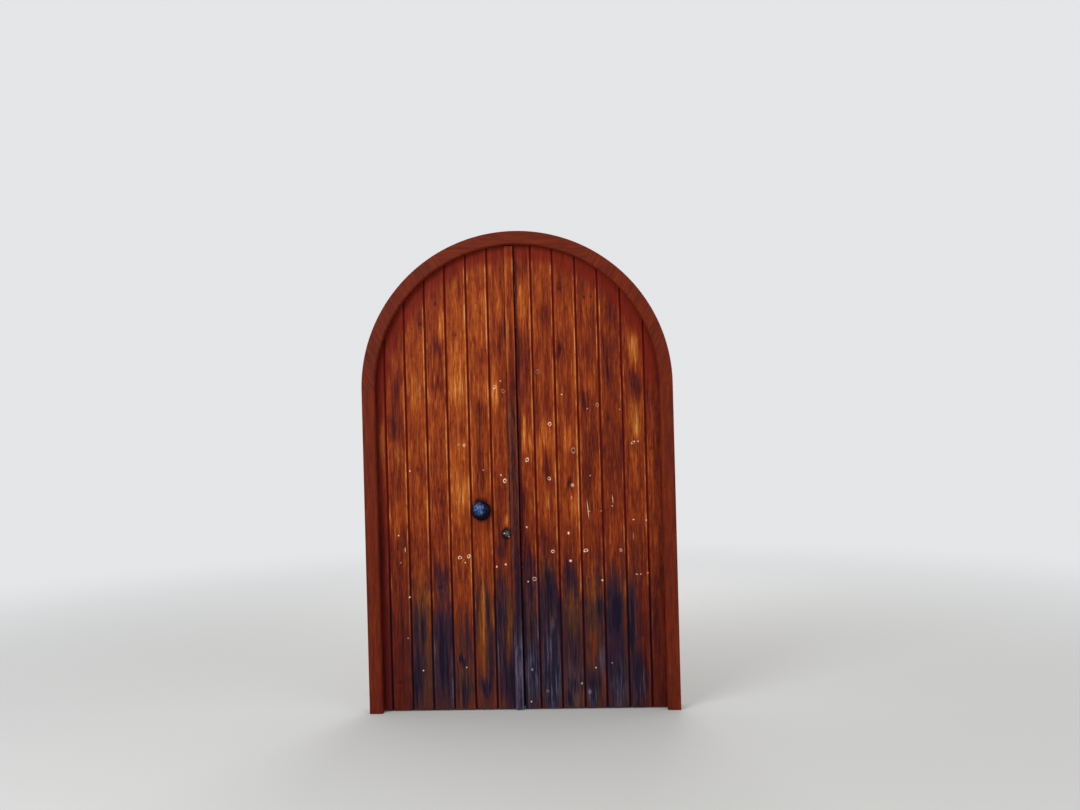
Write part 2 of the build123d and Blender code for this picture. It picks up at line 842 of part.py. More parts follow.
def add_leaf(pieces, side, name):
    """All the wood, straps and strap nails of one leaf."""
    cuts = leaf_fittings(side)
    through = [knob_shank_hole(), cylinder_hole()] if side < 0 else []
    for i, made in enumerate(leaf_boards(side), 1):
        pieces[f"{name}_board_{i}"] = made - through if through else made
    for member, made in leaf_framing().items():
        pieces[f"{name}_{member}"] = on_side(side, made) - cuts
    nails = []
    for level, height in strap_heights.items():
        pieces[f"{name}_{level}_strap"] = strap(side, height)
        seat = leaf_back_y + strap_thickness
        nails += [nail(x, z, seat) for x, z in strap_nails(side, height)]
    pieces[f"{name}_strap_nails"] = Compound(nails)


def build():
    """Every piece of the door by its name."""
    pieces = {}
    sides = {"left": -1, "right": 1}
    frame_nails = []
    for name, side in sides.items():
        pieces[f"{name}_jamb"] = jamb(side)
        pieces[f"{name}_haunch"] = on_side(side, arch_segment(0))
        for level, height in strap_heights.items():
            pieces[f"{name}_{level}_pintle"] = pintle(side, height)
            seat = leaf_back_y + pintle_plate_thickness
            frame_nails += [nail(x, z, seat) for x, z in pintle_nails(side, height)]
    pieces["crown_segment"] = crown_segment()
    joints = [0, segment_angle, 180 - segment_angle, 180]
    pieces["frame_loose_tenons"] = Compound([loose_tenon(angle, 0) for angle in joints])
    pieces["top_bolt_keeper"] = top_bolt_keeper()
    seat = leaf_back_y + guide_ear_thickness
    keeper_middle = top_keeper_low + top_keeper_height / 2
    frame_nails += [nail(x, z, seat) for x, z in guide_nails(keeper_middle)]
    pieces["frame_nails"] = Compound(frame_nails)
    for name, side in sides.items():
        add_leaf(pieces, side, name)
    pieces["meeting_strip"] = meeting_strip()
    pieces["knob"] = knob()
    pieces["knob_rose"] = knob_rose()
    pieces["knob_nut"] = knob_nut()
    pieces["cylinder_rose"] = cylinder_rose()
    pieces["cylinder_body"] = cylinder_body()
    pieces["cylinder_plug"] = cylinder_plug()
    pieces["lock_case"] = lock_case()
    pieces["lock_bolt"] = lock_bolt()
    pieces["lock_keeper"] = lock_keeper()
    seat = leaf_back_y + ear_thickness
    pieces["case_nails"] = Compound([nail(x, z, seat) for x, z in case_nails()])
    pieces["keeper_nails"] = Compound([nail(x, z, seat) for x, z in keeper_nails()])
    pieces["bolt_guides"] = Compound([bolt_guide(height) for height in guide_heights])
    seat = leaf_back_y + guide_ear_thickness
    guide_nail_set = [nail(x, z, seat) for height in guide_heights for x, z in guide_nails(height)]
    pieces["guide_nails"] = Compound(guide_nail_set)
    pieces["top_bolt_rod"] = bolt_rod(top_rod_low, top_rod_high, top_rod_low + rod_handle_inset)
    handle = bottom_rod_high - rod_handle_inset
    pieces["bottom_bolt_rod"] = bolt_rod(bottom_rod_low, bottom_rod_high, handle)
    return pieces


os.makedirs("parts", exist_ok=True)
for piece_name, piece in build().items():
    export_step(piece, f"parts/{piece_name}.step")
    print(piece_name, len(piece.solids()), round(piece.volume))
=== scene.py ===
import math

import bmesh
import bpy
import numpy as np
from mathutils import Matrix, Vector


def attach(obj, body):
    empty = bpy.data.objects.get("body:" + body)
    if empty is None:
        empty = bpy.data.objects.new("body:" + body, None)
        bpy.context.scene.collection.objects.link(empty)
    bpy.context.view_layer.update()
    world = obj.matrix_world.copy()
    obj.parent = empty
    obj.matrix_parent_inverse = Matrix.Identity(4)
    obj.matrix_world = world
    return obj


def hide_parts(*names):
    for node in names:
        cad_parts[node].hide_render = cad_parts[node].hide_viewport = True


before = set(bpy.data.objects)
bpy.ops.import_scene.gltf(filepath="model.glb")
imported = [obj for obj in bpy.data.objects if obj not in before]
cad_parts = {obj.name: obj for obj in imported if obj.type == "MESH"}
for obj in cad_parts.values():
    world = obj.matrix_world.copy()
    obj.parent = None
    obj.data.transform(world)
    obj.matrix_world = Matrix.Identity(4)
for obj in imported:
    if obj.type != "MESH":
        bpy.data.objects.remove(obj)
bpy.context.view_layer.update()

mm = 0.001
farAway = 999.0  # stands for a distance with nothing near, in millimetres

# Sizes that several pieces share, in millimetres
door = {
    "sightRadius": 650,
    "springing": 1480,
    "leafRadius": 665,
    "foot": 8,
    "face": -13.5,  # front of the boards
    "boardBack": 8.5,
    "leafBack": 43.5,
}


# A colour as it is written for a screen, 0 to 255, turned into linear light.
def paint(red, green, blue):
    share = np.array([red, green, blue]) / 255
    linear = np.where(share <= 0.04045, share / 12.92, ((share + 0.055) / 1.055) ** 2.4)
    return (*linear.tolist(), 1.0)


# 0 up to low, 1 from high on, and 3 t squared minus 2 t cubed between them.
def ease(low, high, value):
    t = np.clip((value - low) / (high - low), 0, 1)
    return t * t * (3 - 2 * t)


# Random heights from -0.5 to 0.5 at the whole numbers of u and v, eased from one to the next.
def unevenness(u, v, seed):
    wide, tall = 97, 89
    table = np.random.default_rng(seed).random((wide, tall)) - 0.5
    iu, iv = np.floor(u).astype(int), np.floor(v).astype(int)
    fu, fv = ease(0, 1, u - iu), ease(0, 1, v - iv)
    near, far = [
        table[iu % wide, line % tall] * (1 - fu) + table[(iu + 1) % wide, line % tall] * fu
        for line in (iv, iv + 1)
    ]
    return near * (1 - fv) + far * fv


# Distance inwards from the frame's sight edge: its arch above the springing, its jambs below.
def fromSight(x, z):
    return door["sightRadius"] - np.hypot(x, np.clip(z - door["springing"], 0, None))


# Heights of each column from the foot up to a circle about the springing, in equal steps.
def archedHeights(x, radius, rows):
    top = door["springing"] + np.sqrt(np.clip(radius**2 - x**2, 0, None))
    return door["foot"] + np.linspace(0, 1, rows)[:, None] * (top - door["foot"])


# Arrays or plain numbers side by side, as the parts of one array's last axis.
def together(*parts):
    return np.stack(np.broadcast_arrays(*parts), axis=-1)


# Writes each tuple of one, three or four parts as a point attribute.
def addAttributes(mesh, attributes):
    kinds = {1: ("FLOAT", "value"), 3: ("FLOAT_VECTOR", "vector"), 4: ("FLOAT_COLOR", "color")}
    for name, parts in attributes.items():
        kind, slot = kinds[len(parts)]
        flat = together(*parts).astype(np.float32).ravel()
        mesh.attributes.new(name, kind, "POINT").data.foreach_set(slot, flat)


# A mesh of points in millimetres, smooth but for the edges that turn by more than an angle in degrees.
def finishMesh(name, points, faces, sharp, attributes):
    mesh = bpy.data.meshes.new(name)
    mesh.from_pydata((points.reshape(-1, 3) * mm).tolist(), [], faces)
    addAttributes(mesh, attributes)
    shell = bmesh.new()
    shell.from_mesh(mesh)
    bmesh.ops.recalc_face_normals(shell, faces=shell.faces)
    shell.to_mesh(mesh)
    shell.free()
    mesh.shade_smooth()
    mesh.set_sharp_from_angle(angle=math.radians(sharp))
    return mesh


# Four-sided faces between each row of vertex numbers and the next, closed round.
def quadsBetween(number):
    beside = np.roll(number, -1, axis=1)
    return np.stack([number[:-1], beside[:-1], beside[1:], number[1:]], axis=-1).reshape(-1, 4).tolist()


# A closed section, one row of columns for each place along the piece, with a face on each end.
def sweptMesh(name, x, y, z, attributes):
    points = together(x, y, z)
    rows, columns = points.shape[:2]
    number = np.arange(rows * columns).reshape(rows, columns)
    faces = quadsBetween(number) + [number[0][::-1].tolist(), number[-1].tolist()]
    return finishMesh(name, points, faces, 35, attributes)


# Turns a profile of (radius, depth along Y) points about an axis along Y. A profile that starts on the axis
# runs from pole to pole, and any other closes on itself as a ring.
def turnedMesh(name, centre, profile, steps, sharp, dent=None):
    x0, z0 = centre
    profile = np.array(profile, float)
    hollow = profile[0, 0] > 0
    angle = np.linspace(0, 2 * np.pi, steps, endpoint=False)
    turned = profile if hollow else profile[1:-1]
    radius, depth = turned[:, :1], turned[:, 1:]
    points = together(x0 + radius * np.cos(angle), depth, z0 + radius * np.sin(angle))
    if dent is not None:
        points = dent(points)
    number = np.arange(len(turned) * steps).reshape(-1, steps)
    if hollow:
        return finishMesh(name, points, quadsBetween(np.vstack([number, number[:1]])), sharp, {})
    faces = quadsBetween(number)
    beside = np.roll(number, -1, axis=1)
    front, back = number.size, number.size + 1
    faces += [[front, b, a] for a, b in zip(number[0].tolist(), beside[0].tolist())]
    faces += [[back, a, b] for a, b in zip(number[-1].tolist(), beside[-1].tolist())]
    poles = [[x0, profile[0, 1], z0], [x0, profile[-1, 1], z0]]
    return finishMesh(name, np.concatenate([points.reshape(-1, 3), poles]), faces, sharp, {})


# A new object in the scene.
def addObject(name, data):
    made = bpy.data.objects.new(name, data)
    bpy.context.scene.collection.objects.link(made)
    return made


# Puts a finished mesh in the scene in place of its CAD node.
def fitPiece(mesh, material, body, node):
    piece = addObject(mesh.name, mesh)
    mesh.materials.append(material)
    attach(piece, body)
    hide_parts(node)


# Links a node's input to another node's result, or sets it to a plain value.
def setInput(socket, value):
    if isinstance(value, bpy.types.NodeSocket):
        socket.id_data.links.new(value, socket)
    else:
        socket.default_value = value


# A shader node with its settings and its inputs.
def addNode(tree, kind, wires=None, **settings):
    made = tree.nodes.new("ShaderNode" + kind)
    for name, value in settings.items():
        setattr(made, name, value)
    for socket, value in (wires or {}).items():
        setInput(made.inputs[socket], value)
    return made


# A Math node's result, in the tree of the first value that is another node's result.
def combine(operation, *values, clamp=False):
    tree = next(value.id_data for value in values if isinstance(value, bpy.types.NodeSocket))
    wires = dict(enumerate(values))
    return addNode(tree, "Math", wires, operation=operation, use_clamp=clamp).outputs[0]


# Eases a value from start at low to end at high.
def remap(value, low, high, start=0.0, end=1.0):
    wires = {"Value": value, "From Min": low, "From Max": high, "To Min": start, "To Max": end}
    return addNode(value.id_data, "MapRange", wires, interpolation_type="SMOOTHSTEP").outputs["Result"]


# One colour laid over another.
def blendColour(share, under, over):
    wires = {"Factor": share, 6: under, 7: over}
    return addNode(share.id_data, "Mix", wires, data_type="RGBA").outputs[2]


# A place on the object, in metres.
def objectPlace(tree):
    return addNode(tree, "TexCoord").outputs["Object"]


# The three parts of a vector.
def splitAxes(vector):
    return addNode(vector.id_data, "SeparateXYZ", {0: vector}).outputs


# A vector attribute's three parts.
def attributeParts(tree, name):
    return splitAxes(addNode(tree, "Attribute", attribute_name=name).outputs["Vector"])


# The root of u squared and v squared.
def flatDistance(u, v):
    squares = combine("MULTIPLY_ADD", u, u, combine("MULTIPLY", v, v))
    return combine("POWER", squares, 0.5)


# A vector's length.
def lengthOf(vector):
    return addNode(vector.id_data, "VectorMath", {0: vector}, operation="LENGTH").outputs["Value"]


# Plain noise of so many waves a metre.
def evenNoise(place, waves, detail=2.0, rough=0.5):
    wires = {"Vector": place, "Scale": waves, "Detail": detail, "Roughness": rough}
    return addNode(place.id_data, "TexNoise", wires).outputs["Fac"]


# Noise drawn out along Z: so many waves a metre across the grain and along it.
def grainNoise(place, across, along, detail=3.0, rough=0.55):
    wires = {0: place, 1: (across, across, along)}
    stretched = addNode(place.id_data, "VectorMath", wires, operation="MULTIPLY").outputs[0]
    return evenNoise(stretched, 1.0, detail, rough)


# Colours at places from 0 to 1: (place, red, green, blue).
def colourRamp(value, stops):
    made = addNode(value.id_data, "ValToRGB", {"Fac": value})
    ramp = made.color_ramp
    while len(ramp.elements) < len(stops):
        ramp.elements.new(0.5)
    for element, (place, *colour) in zip(ramp.elements, stops):
        element.position = place
        element.color = paint(*colour)
    return made.outputs["Color"]


# A material, its node tree and its shader with some settings.
def newMaterial(name, settings=None):
    material = bpy.data.materials.new(name)
    material.use_nodes = True
    tree = material.node_tree
    tree.nodes.clear()
    shader = addNode(tree, "BsdfPrincipled", settings)
    addNode(tree, "OutputMaterial", {"Surface": shader.outputs[0]})
    return material, tree, shader


# Gives a shader its colour, roughness and gloss, and a relief of so many metres.
def finishShader(shader, colour, roughness, gloss, height, depth):
    bump = addNode(shader.id_data, "Bump", {"Height": height, "Strength": 0.5, "Distance": depth})
    setInput(shader.inputs["Base Color"], colour)
    setInput(shader.inputs["Roughness"], roughness)
    setInput(shader.inputs["Specular IOR Level"], gloss)
    setInput(shader.inputs["Normal"], bump.outputs[0])


# Stained and varnished wood, from 0, its deepest oxblood, to 1, bare honey-coloured wood: (place, red, green,
# blue). Near the foot the deepest tones are a blue-black water stain
paleTones = [(0.47, 121, 42, 11), (0.60, 152, 65, 18), (0.76, 187, 99, 34), (0.95, 226, 150, 80)]
woodTones = [(0.00, 30, 6, 14), (0.12, 47, 10, 17), (0.24, 68, 17, 16), (0.35, 92, 28, 12), *paleTones]
footTones = [(0.00, 22, 14, 34), (0.12, 38, 24, 42), (0.24, 58, 29, 38), (0.35, 80, 36, 26), *paleTones]
ochreTones = [
    (0.00, 22, 16, 26), (0.25, 54, 34, 30), (0.45, 98, 58, 24), (0.65, 146, 88, 28), (0.90, 188, 132, 62),
]
weatherTones = [(0.0, 88, 60, 48), (0.3, 84, 64, 72), (0.6, 90, 84, 110), (1.0, 132, 136, 168)]
# The rest of the boards' finish
boardFinish = {
    "redDark": paint(76, 8, 4),
    "redLight": paint(140, 34, 8),
    "weatherAbove": paint(100, 71, 54),
    "weatherDark": paint(34, 26, 44),
    # The joints' dirt colours, also used for painted shade by the meeting joint and on the strip's flank
    "dirtAndShadeBelow": paint(22, 4, 18),
    "dirtAndShadeAbove": paint(84, 8, 8),
    "mark": paint(255, 222, 184),
    "rubbedAndGlints": 0.46,  # change of tone on a rubbed arris
    "knot": -0.20,  # and in a knot
    "dirtAndShade": 0.93,
    "gloss": 0.09,
    "relief": 0.0006,
}
markKinds = {"ring": 1, "speck": 2, "knot": 3}


# The grain's share of the tone, and its height for the relief: streaks of three widths, blotches and flecks.
def grainField(place):
    broad = grainNoise(place, 60, 4, 3)
    middle = grainNoise(place, 150, 8, 3, 0.6)
    fine = grainNoise(place, 520, 20, 3, 0.6)
    blotch = grainNoise(place, 34, 14, 2)
    flecks = remap(grainNoise(place, 230, 26, 2), 0.56, 0.70)
    tone = combine("MULTIPLY_ADD", broad, 0.46, -0.91)
    for layer, share in ((middle, 0.55), (fine, 0.68), (blotch, 0.16), (flecks, -0.12)):
        tone = combine("MULTIPLY_ADD", layer, share, tone)
    return tone, combine("MULTIPLY_ADD", fine, 0.6, middle)


# How far a mark of one kind covers a place: wholly within near, not at all beyond far.
def markCover(found, kind, away, near, far):
    isKind = combine("COMPARE", found, markKinds[kind], 0.3)
    return combine("MULTIPLY", remap(away, near, far, 1, 0), isKind)


# The marks as a pale share and a dark share: a ring is a broken band with a faint eye, a speck is pale all
# over and a knot is dark. Noise unsettles their outlines.
def drawMarks(tree, place, grainTone):
    ragged = evenNoise(place, 330)
    broken = remap(evenNoise(place, 210), 0.38, 0.56, 0.25, 1)
    pale, dark = [], []
    for layer in ("marksOne", "marksTwo"):
        strength = addNode(tree, "Attribute", attribute_name=layer).outputs["Alpha"]
        across, up, found = attributeParts(tree, layer)
        u = combine("MULTIPLY_ADD", ragged, 0.7, combine("SUBTRACT", across, 0.35))
        v = combine("MULTIPLY_ADD", grainTone, 1.2, up)
        away = flatDistance(u, v)
        rim = combine("ABSOLUTE", combine("SUBTRACT", away, 0.78))
        ring = combine("MULTIPLY", markCover(found, "ring", rim, 0.10, 0.34), broken)
        eye = markCover(found, "ring", away, 0.3, 0.7)
        speck = markCover(found, "speck", away, 0.4, 1.1)
        knot = markCover(found, "knot", away, 0.2, 1.2)
        light = combine("MAXIMUM", ring, speck)
        shade = combine("MULTIPLY_ADD", eye, 0.4, knot)
        pale.append(combine("MULTIPLY", light, strength))
        dark.append(combine("MULTIPLY", shade, strength))
    return combine("MAXIMUM", *pale), combine("MAXIMUM", *dark)


# The outside of the door. Vertex attributes give the tone, the tints, the arrises and the marks' places.
def makeBoardWood():
    material, tree, shader = newMaterial("varnishedBoards")
    place = addNode(tree, "Attribute", attribute_name="grain").outputs["Vector"]
    base = addNode(tree, "Attribute", attribute_name="tone").outputs["Fac"]
    ochre, red, grey = attributeParts(tree, "tint")
    rubbedAndGlints, grooveAndShade, washAndShade = attributeParts(tree, "edge")
    grainTone, grainHeight = grainField(place)
    pale, dark = drawMarks(tree, place, grainTone)
    finish = boardFinish

    # A wash shows more in some streaks of the grain than in others
    streak = remap(grainNoise(place, 110, 5, 3, 0.6), 0.32, 0.68, 0.25, 1.6)
    across, _, up = splitAxes(objectPlace(tree))
    tone = combine("MULTIPLY_ADD", grainTone, remap(up, 0.15, 0.65, 0.6, 1.0), base)
    tone = combine("MULTIPLY_ADD", washAndShade, streak, tone)
    tone = combine("MULTIPLY_ADD", rubbedAndGlints, finish["rubbedAndGlints"], tone)
    tone = combine("MULTIPLY_ADD", dark, finish["knot"], tone, clamp=True)

    # The water stain stays out of the upper part and off the outermost boards
    above = remap(up, 0.45, 0.85)
    dry = combine("MAXIMUM", above, remap(combine("ABSOLUTE", across), 0.5, 0.56))
    colour = blendColour(dry, colourRamp(tone, footTones), colourRamp(tone, woodTones))
    colour = blendColour(ochre, colour, colourRamp(tone, ochreTones))
    colour = blendColour(red, colour, blendColour(tone, finish["redDark"], finish["redLight"]))
    weather = combine("MULTIPLY_ADD", grainTone, grey, grey, clamp=True)
    wornAndReflection = blendColour(above, colourRamp(weather, weatherTones), finish["weatherAbove"])
    wornAndReflection = blendColour(remap(tone, 0.0, 0.4), finish["weatherDark"], wornAndReflection)
    colour = blendColour(remap(weather, 0.05, 0.5), colour, wornAndReflection)
    # Dirt in the joints, and painted shade by the meeting joint and on the strip's flank
    dirtAndShade = blendColour(above, finish["dirtAndShadeBelow"], finish["dirtAndShadeAbove"])
    colour = blendColour(combine("MULTIPLY", grooveAndShade, finish["dirtAndShade"]), colour, dirtAndShade)
    colour = blendColour(pale, colour, finish["mark"])

    relief = combine("MULTIPLY_ADD", pale, -1.0, grainHeight)
    relief = combine("MULTIPLY_ADD", dark, -0.8, relief)
    roughness = remap(grainHeight, 0.5, 1.2, 0.42, 0.62)
    finishShader(shader, colour, roughness, finish["gloss"], relief, finish["relief"])
    return material


# Plain stained wood whose grain runs up the piece, turned about Y by an angle in degrees. A meeting edge is
# dark within a few millimetres of the door's middle, with dirt and painted shade.
def makeJoineryWood(name, tone, turn, meeting=False):
    material, tree, shader = newMaterial(name)
    place = objectPlace(tree)
    if meeting:
        across = combine("ABSOLUTE", splitAxes(place)[0])
        tone = combine("SUBTRACT", tone, remap(across, 0.0024, 0.006, 0.5, 0))
    wires = {"Vector": place, "Rotation": (0, math.radians(turn), 0), "Location": (turn * 0.37, 0.2, 0.4)}
    grainTone, grainHeight = grainField(addNode(tree, "Mapping", wires).outputs[0])
    total = combine("MULTIPLY_ADD", grainTone, 0.5, tone, clamp=True)
    roughness = remap(grainHeight, 0.5, 1.2, 0.45, 0.62)
    finishShader(shader, colourRamp(total, woodTones), roughness, 0.1, grainHeight, 0.0005)
    return material


# Metal or black iron, mottled between two colours, with a hammered or brushed skin, and painted highlights:
# small places painted bright that stand in for reflections: (x, z, colour).
def makeMetal(name, dark, light, metallic, roughness, waves, height, rubbedAndGlints=(), gloss=0.5):
    material, tree, shader = newMaterial(name, {"Metallic": metallic})
    place = objectPlace(tree)
    mottle = evenNoise(place, waves, 4, 0.6)
    skin = evenNoise(place, waves * 3.1, 3, 0.55)
    colour = blendColour(remap(mottle, 0.35, 0.65), paint(*dark), paint(*light))
    across, _, up = splitAxes(place)
    # Each painted highlight lays its colour over a small round place
    for x0, z0, glintColour in rubbedAndGlints:
        dx, dz = combine("SUBTRACT", across, x0), combine("SUBTRACT", up, z0)
        glintShare = remap(flatDistance(dx, dz), 0.0018, 0.0034, 1, 0)
        colour = blendColour(glintShare, colour, glintColour)
    uneven = remap(skin, 0.3, 0.7, roughness - 0.08, roughness + 0.1)
    finishShader(shader, colour, uneven, gloss, skin, height * mm)
    return material


# Blackened iron with a painted reflection on its crown: a mottled steel blue, most towards the upper left.
def makeKnobIron():
    material, tree, shader = newMaterial("hammeredKnob")
    place = objectPlace(tree)
    toReflection = (0.1815, 0.075, -0.9305)  # moves the middle of the painted reflection to the origin
    fromReflection = lengthOf(addNode(tree, "Mapping", {"Vector": place, "Location": toReflection}).outputs[0])
    mottle = evenNoise(place, 70, 4, 0.65)
    # The painted reflection's share of the crown, ragged at its edge
    reach = combine("MULTIPLY_ADD", mottle, 0.036, combine("SUBTRACT", fromReflection, 0.018))
    wornAndReflection = remap(reach, 0.012, 0.034, 1, 0)
    slanted = addNode(tree, "Mapping", {"Vector": place, "Rotation": (0, 0.7, 0)}).outputs[0]
    strokes = remap(grainNoise(slanted, 190, 70, 2), 0.52, 0.62, 0, 0.85)
    patches = remap(evenNoise(place, 66, 5, 0.6), 0.36, 0.62)
    blue = blendColour(patches, paint(24, 34, 88), paint(94, 126, 178))
    blue = blendColour(strokes, blue, paint(14, 20, 54))
    finishShader(shader, blendColour(wornAndReflection, paint(4, 4, 22), blue), 0.36, 0.1, mottle, 0.0007)
    return material


boardWood = makeBoardWood()
knobIron = makeKnobIron()
# Painted highlights on the rose and the cylinder: bright specks that stand in for reflections
glints = ((-0.0743, 0.8115, paint(250, 255, 240)), (-0.0529, 0.7970, paint(226, 190, 184)))  # in metres
forgedIron = makeMetal("forgedIron", (26, 25, 27), (52, 44, 40), 0.2, 0.5, 70, 0.8)
roseMetal = makeMetal("tarnishedRose", (12, 10, 20), (38, 34, 46), 0, 0.42, 170, 0.15, glints, 0.15)
lockMetal = makeMetal("dullNickel", (18, 26, 20), (68, 78, 66), 0.5, 0.32, 170, 0.1, glints)
plugMetal = makeMetal("dullBrass", (84, 80, 66), (156, 142, 122), 0.9, 0.3, 220, 0.05)
casePaint = makeMetal("japannedCase", (34, 30, 29), (50, 44, 41), 0, 0.36, 90, 0.15)
boltMetal = makeMetal("wornSteel", (96, 94, 92), (150, 148, 144), 0.9, 0.36, 120, 0.1)
print("materials")

# Boards of both leaves. Joint lines are counted from the meeting line outwards
boards = {
    "leftLines": (26.25, 124.75, 223.55, 321.95, 417.65, 513.75, 608.95, 665),
    "rightLines": (2.25, 76.25, 175.65, 278.15, 378.85, 481.35, 583.45, 665),
    "halfJoint": 0.2,
    "chamfer": 4.5,
    "meetingChamfer": 2.0,
    "plainChamfer": 0.3,
    "tongueFront": -4.5,
    "tongueBack": 2.5,
    "tongueLength": 8.0,
    "tongueRoom": 0.25,
    "rows": 270,
    "faceStep": 4.6,  # between columns on the face
    "redAndShadeLast": 0.55,  # the leftmost board's deep red: its stain, and painted shade
    # The last left tone is low: the leftmost board's own tone and painted shade
    "leftTones": (0.42, 0.44, 0.50, 0.41, 0.43, 0.38, 0.30),
    "rightTones": (0.41, 0.41, 0.41, 0.37, 0.35, 0.37, 0.35),
}

